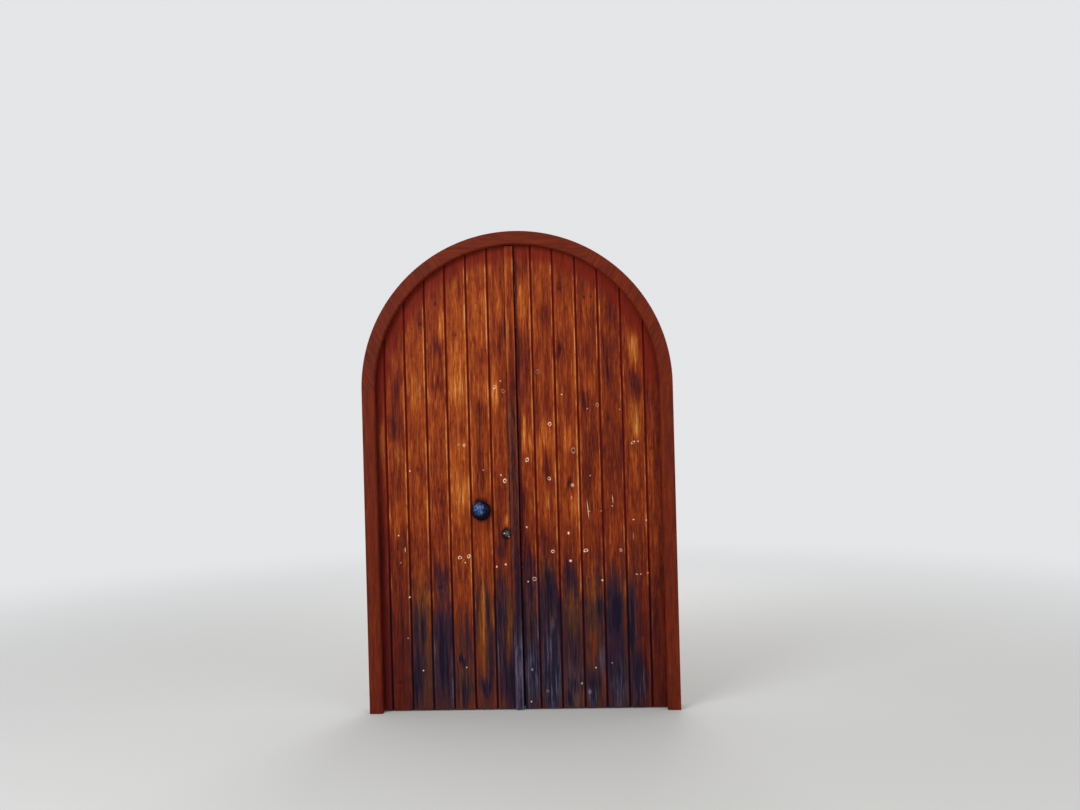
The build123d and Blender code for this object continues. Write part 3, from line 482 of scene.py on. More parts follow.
# Washes: (x, z, half width, half height, hundredths). Where the varnish is lighter or darker than its board
washes = [
    (-626, 1215, 16, 90, 22), (-631, 1040, 16, 65, -4), (-637, 805, 21, 115, -9), (-637, 585, 17, 195, -10),
    (-652, 225, 17, 140, -8), (-639, 75, 28, 35, -8), (-554, 1750, 42, 80, -8), (-558, 1620, 37, 60, 12),
    (-593, 1490, 13, 80, 10), (-556, 1480, 16, 70, -10), (-557, 1445, 18, 75, -10),
    (-526, 1435, 12, 80, 14), (-566, 1290, 21, 60, -10), (-553, 1185, 32, 45, 8), (-577, 1060, 26, 60, -10),
    (-566, 880, 16, 95, 12), (-556, 390, 4, 220, -12), (-460, 1750, 42, 75, -5), (-432, 1595, 16, 105, 5),
    (-465, 1540, 45, 135, 6), (-463, 1435, 42, 75, 7), (-465, 260, 50, 260, -10), (-465, 1125, 26, 20, -12),
    (-462, 695, 39, 100, 3), (-456, 515, 33, 45, 10), (-461, 420, 8, 140, -20), (-492, 390, 14, 140, -10),
    (-437, 390, 14, 165, 8), (-488, 140, 22, 110, -25), (-443, 140, 19, 100, 3), (-362, 1875, 37, 30, -5),
    (-343, 1785, 13, 70, 16), (-367, 1660, 37, 40, -17), (-366, 1492, 26, 35, -18),
    (-376, 1425, 32, 28, 16), (-388, 1275, 16, 85, 8), (-346, 1260, 13, 105, -8), (-369, 995, 26, 55, -20),
    (-351, 880, 16, 45, -12), (-380, 775, 32, 65, 6), (-370, 615, 39, 60, -20), (-367, 520, 33, 35, 2),
    (-368, 255, 47, 235, -34), (-273, 1950, 13, 45, 15), (-273, 1970, 60, 90, -16),
    (-465, 1930, 60, 80, -12), (-172, 1750, 50, 90, 6), (-258, 1830, 26, 75, 3), (-271, 1725, 37, 15, -6),
    (-268, 1630, 37, 55, 12), (-267, 1490, 37, 80, 16), (-259, 1290, 11, 55, -12), (-274, 1025, 8, 30, -10),
    (-269, 1010, 39, 75, 16), (-270, 765, 42, 65, -4), (-267, 735, 39, 55, 5), (-265, 600, 39, 45, -8),
    (-255, 335, 14, 85, -12), (-272, 250, 50, 260, -6), (-286, 230, 25, 20, -35), (-272, 100, 39, 80, -14),
    (-141, 1875, 16, 70, 15), (-189, 1860, 16, 65, 10), (-193, 1695, 16, 25, -15),
    (-158, 1630, 26, 40, -15), (-173, 1475, 37, 45, 8), (-170, 1370, 24, 40, -16),
    (-174, 1220, 13, 115, -14), (-172, 1080, 26, 70, -14), (-180, 775, 42, 85, 8), (-168, 695, 44, 90, 3),
    (-160, 470, 8, 85, -22), (-211, 445, 8, 110, -25), (-180, 445, 8, 110, 18), (-139, 435, 7, 70, 10),
    (-184, 280, 22, 120, 10), (-153, 225, 19, 140, -20), (-175, 100, 25, 45, -30), (-69, 2015, 32, 80, -2),
    (-71, 1835, 16, 60, 12), (-64, 1695, 24, 75, -18), (-106, 1515, 11, 95, 15), (-66, 1515, 21, 55, -8),
    (-102, 1445, 13, 70, 18), (-71, 1355, 32, 85, 2), (-71, 1145, 32, 95, -3), (-86, 960, 32, 70, -12),
    (-60, 860, 15, 25, 20), (-92, 750, 32, 55, -10), (-74, 695, 33, 65, -5), (-69, 540, 8, 70, -20),
    (-44, 470, 10, 100, 12), (-98, 420, 22, 195, -28), (-65, 405, 8, 100, 10), (-77, 140, 44, 145, -27),
    (41, 2025, 26, 70, -8), (37, 1875, 24, 100, 16), (41, 1620, 32, 115, -15), (28, 1300, 9, 85, 20),
    (41, 1220, 26, 45, 15), (45, 1175, 24, 130, 10), (42, 1040, 26, 25, 10), (20, 885, 18, 170, -22),
    (48, 695, 19, 70, -5), (47, 640, 28, 110, -20), (43, 280, 33, 305, -30), (130, 120, 52, 120, -10),
    (-272, 180, 52, 200, -10), (127, 1885, 16, 105, 6), (130, 1790, 24, 45, -12), (135, 1605, 37, 65, -6),
    (98, 1490, 13, 55, 10), (131, 1435, 37, 80, -5), (131, 1250, 37, 60, 17), (99, 1135, 11, 95, 12),
    (133, 1125, 13, 70, -13), (124, 985, 37, 55, 6), (118, 750, 42, 55, -10), (127, 615, 28, 35, -15),
    (165, 595, 11, 50, 15), (138, 395, 6, 45, 35), (130, 290, 60, 290, -30), (124, 520, 46, 110, -28),
    (230, 1990, 37, 70, -10), (256, 1800, 16, 80, 10), (203, 1790, 16, 70, 10), (205, 1640, 18, 35, -15),
    (259, 1515, 11, 80, 8), (230, 1405, 42, 95, -4), (231, 1230, 42, 70, 14), (230, 1010, 18, 25, -22),
    (228, 930, 42, 45, 13), (227, 615, 33, 70, -15), (233, 435, 39, 85, 10), (228, 255, 33, 65, -10),
    (228, 350, 52, 320, -13), (236, 120, 33, 30, -25), (204, 60, 17, 40, -25), (245, 50, 22, 35, 10),
    (317, 1800, 9, 65, 16), (350, 1780, 21, 75, -8), (320, 1630, 26, 35, -10), (337, 1490, 32, 55, 10),
    (320, 1425, 29, 45, -16), (351, 1205, 21, 65, -12), (312, 1040, 24, 65, -8), (367, 970, 4, 55, 35),
    (329, 775, 42, 80, 3), (330, 540, 28, 45, 5), (361, 460, 17, 70, -32), (318, 310, 22, 95, 17),
    (366, 310, 11, 55, -15), (319, 115, 31, 85, -33), (363, 115, 12, 60, 15), (436, 1830, 18, 75, -14),
    (419, 1595, 24, 130, -16), (469, 1490, 11, 45, 12), (433, 1145, 42, 135, -8), (430, 805, 42, 80, 8),
    (434, 695, 39, 65, 12), (470, 530, 7, 65, 20), (409, 470, 25, 110, -20), (438, 435, 19, 95, -22),
    (465, 380, 9, 160, 16), (431, 140, 47, 130, -12), (431, 330, 50, 300, -13), (541, 1640, 29, 80, 27),
    (537, 1475, 42, 60, -12), (543, 1315, 26, 95, 22), (537, 1090, 42, 95, 5), (560, 200, 60, 200, 10),
    (625, 250, 40, 260, 12), (628, 740, 40, 100, 8), (539, 695, 44, 85, 3), (555, 445, 25, 165, 3),
    (532, 250, 52, 240, -12), (499, 420, 17, 145, -26), (530, 115, 44, 110, -28), (646, 1520, 12, 20, -30),
    (625, 1435, 21, 30, 5), (623, 1380, 26, 80, -5), (612, 1145, 8, 105, 10), (610, 775, 8, 80, 12),
    (612, 280, 22, 220, -10),
]
# Where the red has gone and the wood shows yellow-brown
ochreWashes = [
    (-456, 420, 40, 190, 60), (-455, 150, 40, 130, 50), (-272, 130, 42, 110, 60), (-175, 380, 45, 190, 65),
    (-60, 400, 34, 170, 60), (-560, 1190, 24, 60, 30), (-628, 1215, 14, 80, 70), (-465, 1500, 40, 80, 20),
    (120, 640, 40, 60, 50), (130, 400, 30, 90, 60), (233, 430, 40, 130, 70), (240, 70, 36, 60, 70),
    (330, 470, 34, 160, 60), (320, 130, 34, 90, 50), (468, 540, 14, 90, 60), (541, 1330, 26, 110, 40),
    (541, 1640, 26, 70, 40), (480, 120, 60, 110, 40), (42, 380, 30, 160, 50), (-272, 1010, 30, 60, 20),
    (-268, 1480, 30, 80, 20),
]
# Bluish grey weathering
weatherWashes = [
    (72, 420, 6, 260, 55), (-414, 240, 8, 180, 40), (-326, 180, 6, 160, 50), (311, 75, 22, 40, 50),
    (130, 250, 34, 240, 35), (435, 110, 40, 110, 30), (360, 230, 14, 90, 30), (-115, 300, 8, 160, 35),
    (-370, 575, 26, 12, 30), (530, 110, 30, 80, 20), (38, 170, 34, 160, 40), (130, 130, 50, 130, 25),
    (228, 120, 50, 120, 15),
]
# Pale rings, specks and scratches, and dark knots: (x, z, half width, half height, turn, strength)
rings = [
    (-282, 703, 8.7, 7.8, -35, 1.0), (-274, 1223, 4.6, 6.0, 0, 0.35), (-249, 1220, 5.5, 8.7, 25, 0.8),
    (-241, 709, 6.4, 10.5, 30, 1.0), (-101, 1483, 6.0, 10.5, 35, 1.0), (-66, 1051, 7.8, 10.5, 5, 1.0),
    (-63, 1463, 7.3, 10.1, -30, 0.22), (39, 1145, 7.3, 11.0, 10, 0.9), (59, 600, 9.2, 9.2, 0, 0.5),
    (97, 1547, 10.0, 11.8, 0, 0.14), (107, 84, 6.0, 6.9, 0, 0.3), (138, 1057, 7.3, 7.8, 0, 0.9),
    (146, 724, 7.8, 7.3, 0, 0.9), (147, 1307, 8.2, 8.7, 0, 0.9), (251, 1183, 9.2, 14.6, 0, 0.34),
    (297, 725, 10.5, 7.8, -30, 1.0), (366, 1389, 6.9, 10.1, 0, 0.28), (457, 724, 6.4, 7.8, 0, 0.55),
    (525, 1213, 5.5, 10.1, 55, 0.75),
]
specks = [
    (-563, 811, 4.1, 4.6, 0, 0.8), (-557, 685, 3.7, 3.7, 0, 0.4), (-531, 337, 4.6, 4.1, 0, 0.35),
    (-519, 526, 5.5, 5.0, 0, 0.8), (-503, 1107, 3.7, 5.5, 0, 0.7), (-464, 187, 4.1, 3.7, 0, 1.0),
    (-264, 199, 4.1, 4.1, 0, 0.6), (-258, 680, 4.1, 4.1, 0, 0.9), (-164, 1103, 3.7, 3.7, 0, 0.45),
    (-113, 659, 4.1, 6.0, 0, 0.8), (-83, 1079, 3.7, 3.7, 0, 1.0), (-75, 1510, 3.7, 3.7, 0, 0.7),
    (-72, 669, 5.0, 5.0, 0, 1.0), (29, 587, 3.7, 4.1, 0, 0.9), (29, 837, 4.1, 5.0, 0, 0.9),
    (30, 37, 4.1, 5.0, 0, 0.7), (38, 184, 5.0, 6.9, 0, 0.35), (205, 1441, 4.6, 4.1, 0, 0.7),
    (220, 806, 5.5, 7.8, 0, 1.0), (226, 679, 7.3, 6.4, 0, 1.0), (238, 968, 3.2, 11.9, 10, 0.3),
    (244, 1025, 9.2, 10.1, 0, 0.5), (263, 117, 3.7, 6.9, 20, 0.6), (299, 80, 9.2, 13.7, 0, 0.14),
    (321, 1373, 3.7, 3.7, 0, 0.5), (326, 1066, 4.1, 4.1, 0, 0.4), (329, 189, 4.1, 3.7, 0, 0.8),
    (369, 587, 6.0, 5.5, 0, 0.7), (404, 209, 4.6, 3.7, 0, 0.3), (468, 1366, 3.7, 3.7, 0, 0.4),
    (518, 862, 5.5, 3.7, 0, 0.7), (526, 612, 6.4, 2.7, 15, 0.7), (545, 612, 3.7, 3.7, 0, 0.7),
    (548, 1218, 4.1, 4.6, 0, 0.6), (576, 858, 3.7, 6.4, 0, 0.6), (577, 617, 3.7, 3.7, 0, 0.6),
    (-534, 743, 1.8, 14.6, 0, 0.9), (133, 940, 1.6, 32.0, -2, 0.3), (312, 908, 1.6, 50.3, -5, 0.9),
    (316, 904, 8.2, 1.6, 0, 0.7), (371, 904, 5.5, 1.8, 0, 0.6), (423, 926, 4.1, 4.1, 0, 0.5),
    (426, 956, 1.6, 22.9, -3, 0.8), (515, 784, 1.6, 22.9, 0, 0.35),
]
knots = [
    (-571, 135, 12.8, 11.0, 0, 0.7), (-475, 1765, 5.0, 5.5, 0, 0.6), (-463, 1114, 14.6, 11.9, 0, 0.6),
    (-437, 1781, 10.5, 11.0, 0, 0.8), (-381, 569, 18.3, 11.0, 0, 0.5), (-369, 1016, 11.9, 14.6, 0, 0.6),
    (-368, 1872, 9.2, 11.9, 0, 0.9), (-282, 1727, 22.9, 7.3, -8, 0.4), (-280, 231, 15.6, 11.9, 0, 0.6),
    (-178, 1872, 6.4, 8.2, 0, 0.7), (-140, 1654, 7.3, 7.3, 0, 0.4), (-86, 1883, 11.4, 11.4, 0, 0.4),
    (26, 1952, 6.4, 6.4, 0, 0.6), (201, 1654, 13.7, 18.3, 0, 0.2), (206, 1924, 10.1, 11.0, 0, 0.8),
    (307, 1695, 6.9, 9.2, 0, 0.4), (310, 592, 10.1, 7.3, 0, 0.5), (318, 1883, 8.2, 10.1, 0, 0.9),
    (350, 1885, 6.4, 8.2, 0, 0.9), (544, 336, 8.2, 8.2, 0, 0.7), (609, 1187, 11.0, 12.8, 0, 0.7),
]
markRows = {"ring": rings, "speck": specks, "knot": knots}
marks = [(*row, markKinds[kind]) for kind, rows in markRows.items() for row in rows]
# Dark rings round the lock and the knob, painted shade round both and dirt round the lock:
# (x, z, full within, gone beyond, change of tone)
shadeAndDirtRings = [(-60.5, 809, 19, 31, -0.42), (-174, 921, 44, 62, -0.24)]


# Adds up soft-edged ovals, e to the minus cubed distance in half sizes, of the spots between two joint
# lines.
def softSpots(x, z, spots, low, high):
    total = np.zeros(x.shape)
    for x0, z0, across, up, change in spots:
        if low <= x0 <= high:
            total += change / 100 * np.exp(-(((x - x0) / across) ** 2 + ((z - z0) / up) ** 2) ** 1.5)
    return total


# Shares a board's marks, each with its reach, between two layers, so that close ones are in different layers.
def shareMarks(low, high):
    layers = [[], []]
    for mark in marks:
        x0, z0, across, up = mark[:4]
        if low <= x0 <= high:
            reach = max(across, up) * 1.2 + 8
            room = []
            for layer in layers:
                apart = [math.hypot(x0 - row[0], z0 - row[1]) - reach - row[-1] for row in layer]
                room.append(min(apart, default=farAway))
            layers[room.index(max(room))].append((*mark, reach))
    return layers


# For each layer, every vertex's place beside its nearest mark in that mark's own half sizes, the mark's kind
# and its strength, so that the shader can draw the mark sharply. Out of reach the kind is 0.
def markLayers(x, z, front, low, high):
    made = []
    for layer in shareMarks(low, high):
        if not layer:
            made.append((9 + 0 * z, 9, 0, 0))
            continue
        rows = np.array(layer, float)
        away = np.hypot(x[..., None] - rows[:, 0], z[..., None] - rows[:, 1]) - rows[:, -1]
        x0, z0, across, up, turn, strength, kind, _ = np.moveaxis(rows[away.argmin(axis=-1)], -1, 0)
        dx, dz, angle = x - x0, z - z0, np.radians(turn)
        u = (dx * np.cos(angle) - dz * np.sin(angle)) / across
        v = (dx * np.sin(angle) + dz * np.cos(angle)) / up
        made.append((u, v, kind * front * (away.min(axis=-1) < 0), strength * front))
    return made


# A board seen from above: chamfer, face, chamfer, tongue, back and groove. Each column has x, y, how far down
# a chamfer it lies, its distance from each arris, and 1 on the front.
def boardOutline(left, right, plainLeft, plainRight, leftChamfer, rightChamfer):
    start, end = left + leftChamfer, right - rightChamfer
    near = np.array([0, 0.7, 1.6, 3.0])  # the columns lie closer beside an arris
    inner = np.linspace(start + 5, end - 5, max(2, round((end - start - 10) / boards["faceStep"]) + 1))
    faceX = np.concatenate([start + near, inner, end - near[::-1]])
    down = np.array([1, 0.72, 0.4, 0.15])  # shares of a chamfer
    up, slope = down[::-1], 1.41
    leftDown, rightDown = leftChamfer * down, rightChamfer * up
    face, back = door["face"], door["boardBack"]
    columns = [
        together(start - leftDown, face + leftDown, down, leftDown * slope, farAway, 1),
        together(faceX, face, 0, faceX - start, end - faceX, 1),
        together(end + rightDown, face + rightDown, up, farAway, rightDown * slope, 1),
    ]
    inFront, behind, room = boards["tongueFront"], boards["tongueBack"], boards["tongueRoom"]
    rest = [(right + (left - right) * share, back) for share in np.linspace(0, 1, 5)]
    if not plainRight:
        tip = right + boards["tongueLength"]
        rest = [(right, inFront), (tip, inFront), (tip, behind), (right, behind)] + rest
    if not plainLeft:
        deep = left + 2 * boards["halfJoint"] + boards["tongueLength"] + room
        rest += [(left, behind + room), (deep, behind + room), (deep, inFront - room), (left, inFront - room)]
    columns.append(together(*np.transpose(rest), 1, farAway, farAway, 0))
    return np.concatenate(columns).T


# A board's tone, and its shares of ochre, red, weathering, and washes that hold some painted shade, on its
# front. The red follows the arch, its stain with painted shade in it. The spots are shifted by uneven
# amounts, so that their outlines run with the grain.
def boardTones(side, index, seed, x, z, low, high):
    base = boards["leftTones" if side < 0 else "rightTones"][index]
    inwards = fromSight(x, z)
    # Painted shade darkens the board next to the frame's sight edge
    tone = base - 0.06 * ease(30, 0, inwards) - 0.07 * ease(600, 350, z)
    tone = tone + 0.07 * ease(675 + 75 * (side < 0), 900, z)
    band = 92 + 34 * unevenness(x / 40, z / 90, 4) + 12 * unevenness(x / 9, z / 30, 5)
    red = 0.85 * ease(band, band * 0.45, inwards) * ease(1380, 1560, z)
    # The leftmost board's deep red, its stain with painted shade in it
    if side < 0 and index == len(boards["leftTones"]) - 1:
        red = red + boards["redAndShadeLast"]

    runX = x + 7 * unevenness(z / 60, x / 30, seed + 11)
    runZ = z + 70 * unevenness(x / 8, z / 260, seed + 9) + 34 * unevenness(x / 3, z / 120, seed + 10)
    ochre = softSpots(runX, runZ, ochreWashes, low, high)
    weather = softSpots(runX, runZ, weatherWashes, low, high)
    weather = weather + 0.13 * ease(480, 150, z) * (abs(low) < 560)
    washAndShade = softSpots(runX, runZ, washes, low, high)
    # Painted shade round the lock and the knob, with dirt round the lock
    for x0, z0, near, far, change in shadeAndDirtRings:
        washAndShade = washAndShade + change * ease(far, near, np.hypot(x - x0, z - z0))
    if side > 0 and index == 0:  # painted shadow of the strip beside the meeting joint
        washAndShade = washAndShade - (0.24 + 0.14 * ease(1050, 750, z)) * ease(17, 4, x - low)
    if side < 0 and index == 0:  # a dark line beside the strip's left edge
        washAndShade = washAndShade - 0.30 * ease(-48, -44, x)
    return tone, np.clip(ochre, 0, 1), np.clip(red, 0, 1), np.clip(weather, 0, 1), washAndShade


# How far the grain bends sideways round knots and rings, in millimetres.
def grainBend(x, z, low, high):
    bend = np.zeros(x.shape)
    for x0, z0, across, up, *_, kind in marks:
        if kind != markKinds["speck"] and low <= x0 <= high:
            dx, dz = (x - x0) / (across * 1.6), (z - z0) / (up * 3)
            bend += across * 1.1 * dx * np.exp(-(dx**2) - dz**2)
    return bend


# One board: its outline carried up from the foot to the arch, whose edge is a circle about the springing,
# with worn arrises, a little cupping and the relief of the grain, all inwards from the board's true face.
def makeBoard(side, index):
    leaf = "left" if side < 0 else "right"
    lines = boards[leaf + "Lines"]
    first, last = index == 0, index == len(lines) - 2
    atMeeting = side > 0 and first
    seed = 20 * index + (7 if side < 0 else 3)
    inner = boards["plainChamfer" if first else "chamfer"]
    outer = boards["plainChamfer" if last else "chamfer"]
    if atMeeting:
        inner = boards["meetingChamfer"]
    low, high = sorted((side * lines[index], side * lines[index + 1]))
    plain = (first, last)[::side]
    left = low + (0 if plain[0] else boards["halfJoint"])
    right = high - (0 if plain[1] else boards["halfJoint"])
    x, y, depth, fromLeft, fromRight, front = boardOutline(left, right, *plain, *(inner, outer)[::side])
    z = archedHeights(x, door["leafRadius"], boards["rows"])
    x = x + 0 * z

    # Unevenness up the board, in waves of so many millimetres
    def rough(length, number):
        return unevenness(z / length, 0 * z, seed + number)

    lowDown = ease(800, 150, z)
    arris = np.minimum(fromLeft, fromRight)
    wear = 0.5 + rough(60, 0) + 0.5 * rough(17, 1) + 0.4 * lowDown
    rounding = 1.3 * wear * np.clip(1 - arris / 3.4, 0, 1) ** 2
    relief = (0.25 + 0.5 * lowDown) * (0.5 + unevenness(x / 2.7, z / 60, seed + 2)) * (depth < 0.1)
    cupping = 0.5 * ((2 * (x - low) / (high - low) - 1) ** 2) * (index % 2) * (depth < 0.5)
    y = y + front * np.clip(rounding + relief + cupping, 0, None)

    # The arrises are rubbed pale in places, dirt lies in the joints, and painted shadow by the meeting joint
    tone, ochre, red, weather, washAndShade = boardTones(side, index, seed, x, z, low, high)
    rightLine = np.clip(0.55 + 1.1 * rough(120, 4) + 0.5 * rough(25, 5), 0, 1)
    leftLine = np.clip(0.20 + 1.0 * rough(150, 6) + 0.5 * rough(30, 7), 0, 1) * (not atMeeting)
    rubbedAndGlints = rightLine * np.exp(-(((fromRight - 3) / 2.2) ** 2))
    rubbedAndGlints = rubbedAndGlints + leftLine * np.exp(-(((fromLeft - 3) / 2.1) ** 2))
    rubbedAndGlints = rubbedAndGlints * (1 - 0.6 * red) * front * (0.35 + 0.65 * ease(250, 700, z))
    grooveAndShade = np.maximum(ease(0, 0.12, depth), 0.75 * ease(2.2, 0.3, arris)) * front
    # Painted shadow of the meeting joint on the face of the right leaf's first board
    if atMeeting:
        grooveAndShade = np.maximum(grooveAndShade, 0.9 * ease(6.5, 3.5, x - low)) * front

    plainTone = 0.42 + 0.02 * (index % 3)  # of the tongue, groove and back
    grainX = x - grainBend(x, z, low, high) + 5 * rough(420, 8)
    one, two = markLayers(x, z, front, low, high)
    attributes = {
        "tone": (tone * front + plainTone * (1 - front),),
        "tint": (ochre * front, red * front, weather * front),
        "edge": (rubbedAndGlints, grooveAndShade, washAndShade * front),
        "grain": (grainX * mm + 3.1 * index, y * mm + side, z * mm + seed),
        "marksOne": one,
        "marksTwo": two,
    }
    mesh = sweptMesh(f"{leaf}Board{index + 1}", x, y, z, attributes)
    fitPiece(mesh, boardWood, f"{leaf}_leaf", f"{leaf}_board_{index + 1}")


for side in (-1, 1):
    for index in range(len(boards["leftTones"])):
        makeBoard(side, index)
print("boards")

# Meeting strip on the left leaf
strip = {
    "left": -42.25,
    "right": -3.25,
    "heart": -26.25,  # its tongue between the boards starts here
    "front": -25.5,
    "flank": -18,  # a row of points on its sides
    "round": 3.5,
    "proudRadius": 646,
    "rows": 300,
}


# The strip's outline from above, and 1 for the points of its proud part.
def stripOutline():
    low, high, front, r = strip["left"], strip["right"], strip["front"], strip["round"]
    turn = np.linspace(0, np.pi / 2, 5)
    left = [(low + r - r * math.cos(a), front + r - r * math.sin(a)) for a in turn]
    right = [(high - r + r * math.sin(a), front + r - r * math.cos(a)) for a in turn]
    face = [(x, front) for x in np.linspace(left[-1][0], right[0][0], 11)[1:-1]]
    proud = [(low, door["face"]), (low, strip["flank"]), *left, *face, *right, (high, strip["flank"])]
    rest = [
        (high, door["face"]), (high, door["boardBack"]),
        (strip["heart"], door["boardBack"]), (strip["heart"], door["face"]),
    ]
    return np.array(proud + rest), np.array([1.0] * len(proud) + [0.0] * len(rest))


# The strip's section carried up: a front with two rounded arrises, worn deeper low down, and the heart that
# fills the leaf's meeting edge. The proud part ends on its own circle under the frame's sight edge.
def makeStrip():
    outline, isProud = stripOutline()
    x, y = outline.T
    radius = np.where(isProud > 0, strip["proudRadius"], door["leafRadius"])
    z = archedHeights(x, radius, strip["rows"])
    x = x + 0 * z
    fromLeft, fromRight = x - strip["left"], strip["right"] - x
    onFront = isProud * (y < -20)
    lowDown = ease(700, 250, z)
    wear = 0.4 + unevenness(z / 50, 0 * z, 61) + 0.6 * unevenness(z / 14, 0 * z, 62) + 0.7 * lowDown
    rounding = 1.2 * wear * np.clip(1 - np.minimum(fromLeft, fromRight) / 6, 0, 1)
    relief = (0.25 + 0.8 * lowDown) * (0.5 + unevenness(x / 2.6, z / 70, 63))
    y = y + onFront * np.clip(rounding + relief, 0, None)

    # Darker down the middle, from the arch to the lock, and paler along the right side beside the lock
    tone = 0.46 - 0.04 * ease(1780, 1500, z) - 0.03 * ease(1450, 1150, z) - 0.05 * ease(1100, 880, z)
    tone = tone - 0.08 * ease(850, 600, z)
    tone = tone + 0.10 * unevenness(z / 90, x / 8, 64) + 0.05 * unevenness(z / 30, x / 4, 65)
    middle = ease(10, 16, fromLeft) * ease(5, 10, fromRight)
    inside = 0.06 * ease(1700, 1850, z) - 0.16 * ease(1700, 1450, z) - 0.04 * ease(600, 500, z)
    tone = tone + middle * (inside + 0.06 * ease(600, 680, z) * ease(900, 800, z))
    tone = tone + 0.09 * ease(460, 280, z) * ease(6, 16, fromLeft)
    tone = tone + 0.12 * ease(12, 4, fromRight) * ease(980, 1080, z) * ease(1480, 1380, z)

    # Weathered along the arrises and over the foot
    arrisShare = np.exp(-((fromLeft / 10) ** 2)) + 0.8 * np.exp(-((fromRight / 6) ** 2))
    weather = 0.30 * arrisShare * ease(1620, 1320, z) + 0.06 * ease(700, 450, z)
    weather = weather * ease(500, 900, z) + 0.18 * arrisShare * ease(480, 340, z) + 0.58 * ease(480, 280, z)
    weather = weather * (1 - 0.3 * ease(8, 2, fromLeft) * ease(300, 200, z))
    weather = weather * (0.75 + 0.5 * unevenness(z / 45, x / 6, 66) + 0.4 * unevenness(z / 12, x / 4, 67))
    weather = weather + 0.15 * ease(1680, 1260, z) * ease(520, 700, z) * (0.8 + unevenness(z / 60, x / 5, 69))
    rubbedAndGlints = arrisShare * (0.45 + unevenness(z / 70, x, 68)) * ease(1350, 1800, z)
    # Painted shade on the strip's right arris and flank
    shaded = ease(strip["front"] + 1.5, strip["front"] + 5, y) * (fromLeft > 5)
    grooveAndShade = np.maximum(shaded, 0.8 * (1 - isProud))
    # Red under the arch, its stain with painted shade in it
    red = 0.7 * ease(90, 40, fromSight(x, z))
    attributes = {
        "tone": (tone * isProud + 0.3 * (1 - isProud),),
        "tint": (0, red, weather * isProud),
        "edge": (rubbedAndGlints * onFront, grooveAndShade, 0),
        "grain": (x * mm + 47, y * mm, z * mm + 11),
    }
    mesh = sweptMesh("meetingStrip", x, y, z, attributes)
    fitPiece(mesh, boardWood, "left_leaf", "meeting_strip")


makeStrip()
print("meeting strip")

# Pull knob, forged and hammered
knob = {
    "centre": (-174.15, 920),
    "radius": 44.6,
    "rim": -56.5,
    "rise": 26.4,
    "undercut": 21.5,
    "neck": 16,
    "seat": -18.6,
    "steps": 112,
    "dents": 150,
    "dentDepth": 0.9,
    "dentEdge": 0.22,  # width of the ridge between two marks, on a dome of radius 1
}


# Presses shallow hammer marks into the dome: a point sinks by how much nearer it is to the nearest mark's
# middle than to the next one's.
def hammered(points):
    x0, z0 = knob["centre"]
    random = np.random.default_rng(12)
    lean = np.arccos(1 - random.random(knob["dents"]))
    around = random.random(knob["dents"]) * 2 * np.pi
    middles = together(np.sin(lean) * np.cos(around), -np.cos(lean), np.sin(lean) * np.sin(around))
    local = (points - [x0, knob["rim"], z0]) / [knob["radius"], knob["rise"], knob["radius"]]
    outwards = local / np.maximum(np.linalg.norm(local, axis=-1, keepdims=True), 1e-6)
    away = np.sort(np.linalg.norm(outwards[..., None, :] - middles, axis=-1), axis=-1)
    sink = np.clip((away[..., 1] - away[..., 0]) / knob["dentEdge"], 0, 1)
    top = knob["rim"] - knob["rise"]
    onDome = (points[..., 1] < knob["rim"] + 1) & (points[..., 1] > top + 0.6)
    return points - outwards * (knob["dentDepth"] * sink * onDome)[..., None]


# A quarter ellipse from the front pole to the rim, a second one under the rim to the neck, and the neck.
def makeKnob():
    radius, neck, rim = knob["radius"], knob["neck"], knob["rim"]
    bend, under = np.linspace(0, np.pi / 2, 26), np.linspace(0, np.pi / 2, 12)[1:]
    profile = [(radius * math.sin(a), rim - knob["rise"] * math.cos(a)) for a in bend]
    profile += [(neck + (radius - neck) * math.cos(a), rim + knob["undercut"] * math.sin(a)) for a in under]
    profile += [(neck, knob["seat"]), (0, knob["seat"])]
    mesh = turnedMesh("pullKnob", knob["centre"], profile, knob["steps"], 55, hammered)
    fitPiece(mesh, knobIron, "left_leaf", "knob")


makeKnob()
print("knob")

# Lock cylinder and its rose, as profiles of (radius, depth): eased edges, and a turned line on the
# cylinder's face
lock = {
    "centre": (-60.5, 810),
    "steps": 80,
    "rose": [
        (14.0, -13.5), (14.0, -17.4), (14.5, -18.2), (15.3, -18.5),
        (16.6, -18.3), (17.5, -17.7), (18, -16.6), (18, -13.5),
    ],
    "cylinder": [
        (6.6, 43.5), (6.6, -16.6), (7, -17), (9.4, -17), (9.8, -16.5), (10.3, -16.5), (10.7, -17),
        (12.3, -17), (13.4, -16.6), (13.9, -15.8), (13.9, 43.5),
    ],
}


# The rose and the cylinder as turned rings.
def makeLock():
    rose = turnedMesh("lockRose", lock["centre"], lock["rose"], lock["steps"], 30)
    fitPiece(rose, roseMetal, "left_leaf", "cylinder_rose")
    cylinder = turnedMesh("lockCylinder", lock["centre"], lock["cylinder"], lock["steps"], 30)
    fitPiece(cylinder, lockMetal, "left_leaf", "cylinder_body")


makeLock()
print("lock")

# Meeting stile of the left leaf, planed so that the joint between the leaves closes to a dark line
stile = {"left": -92.25, "right": -0.25, "ease": 0.4, "rows": 40}


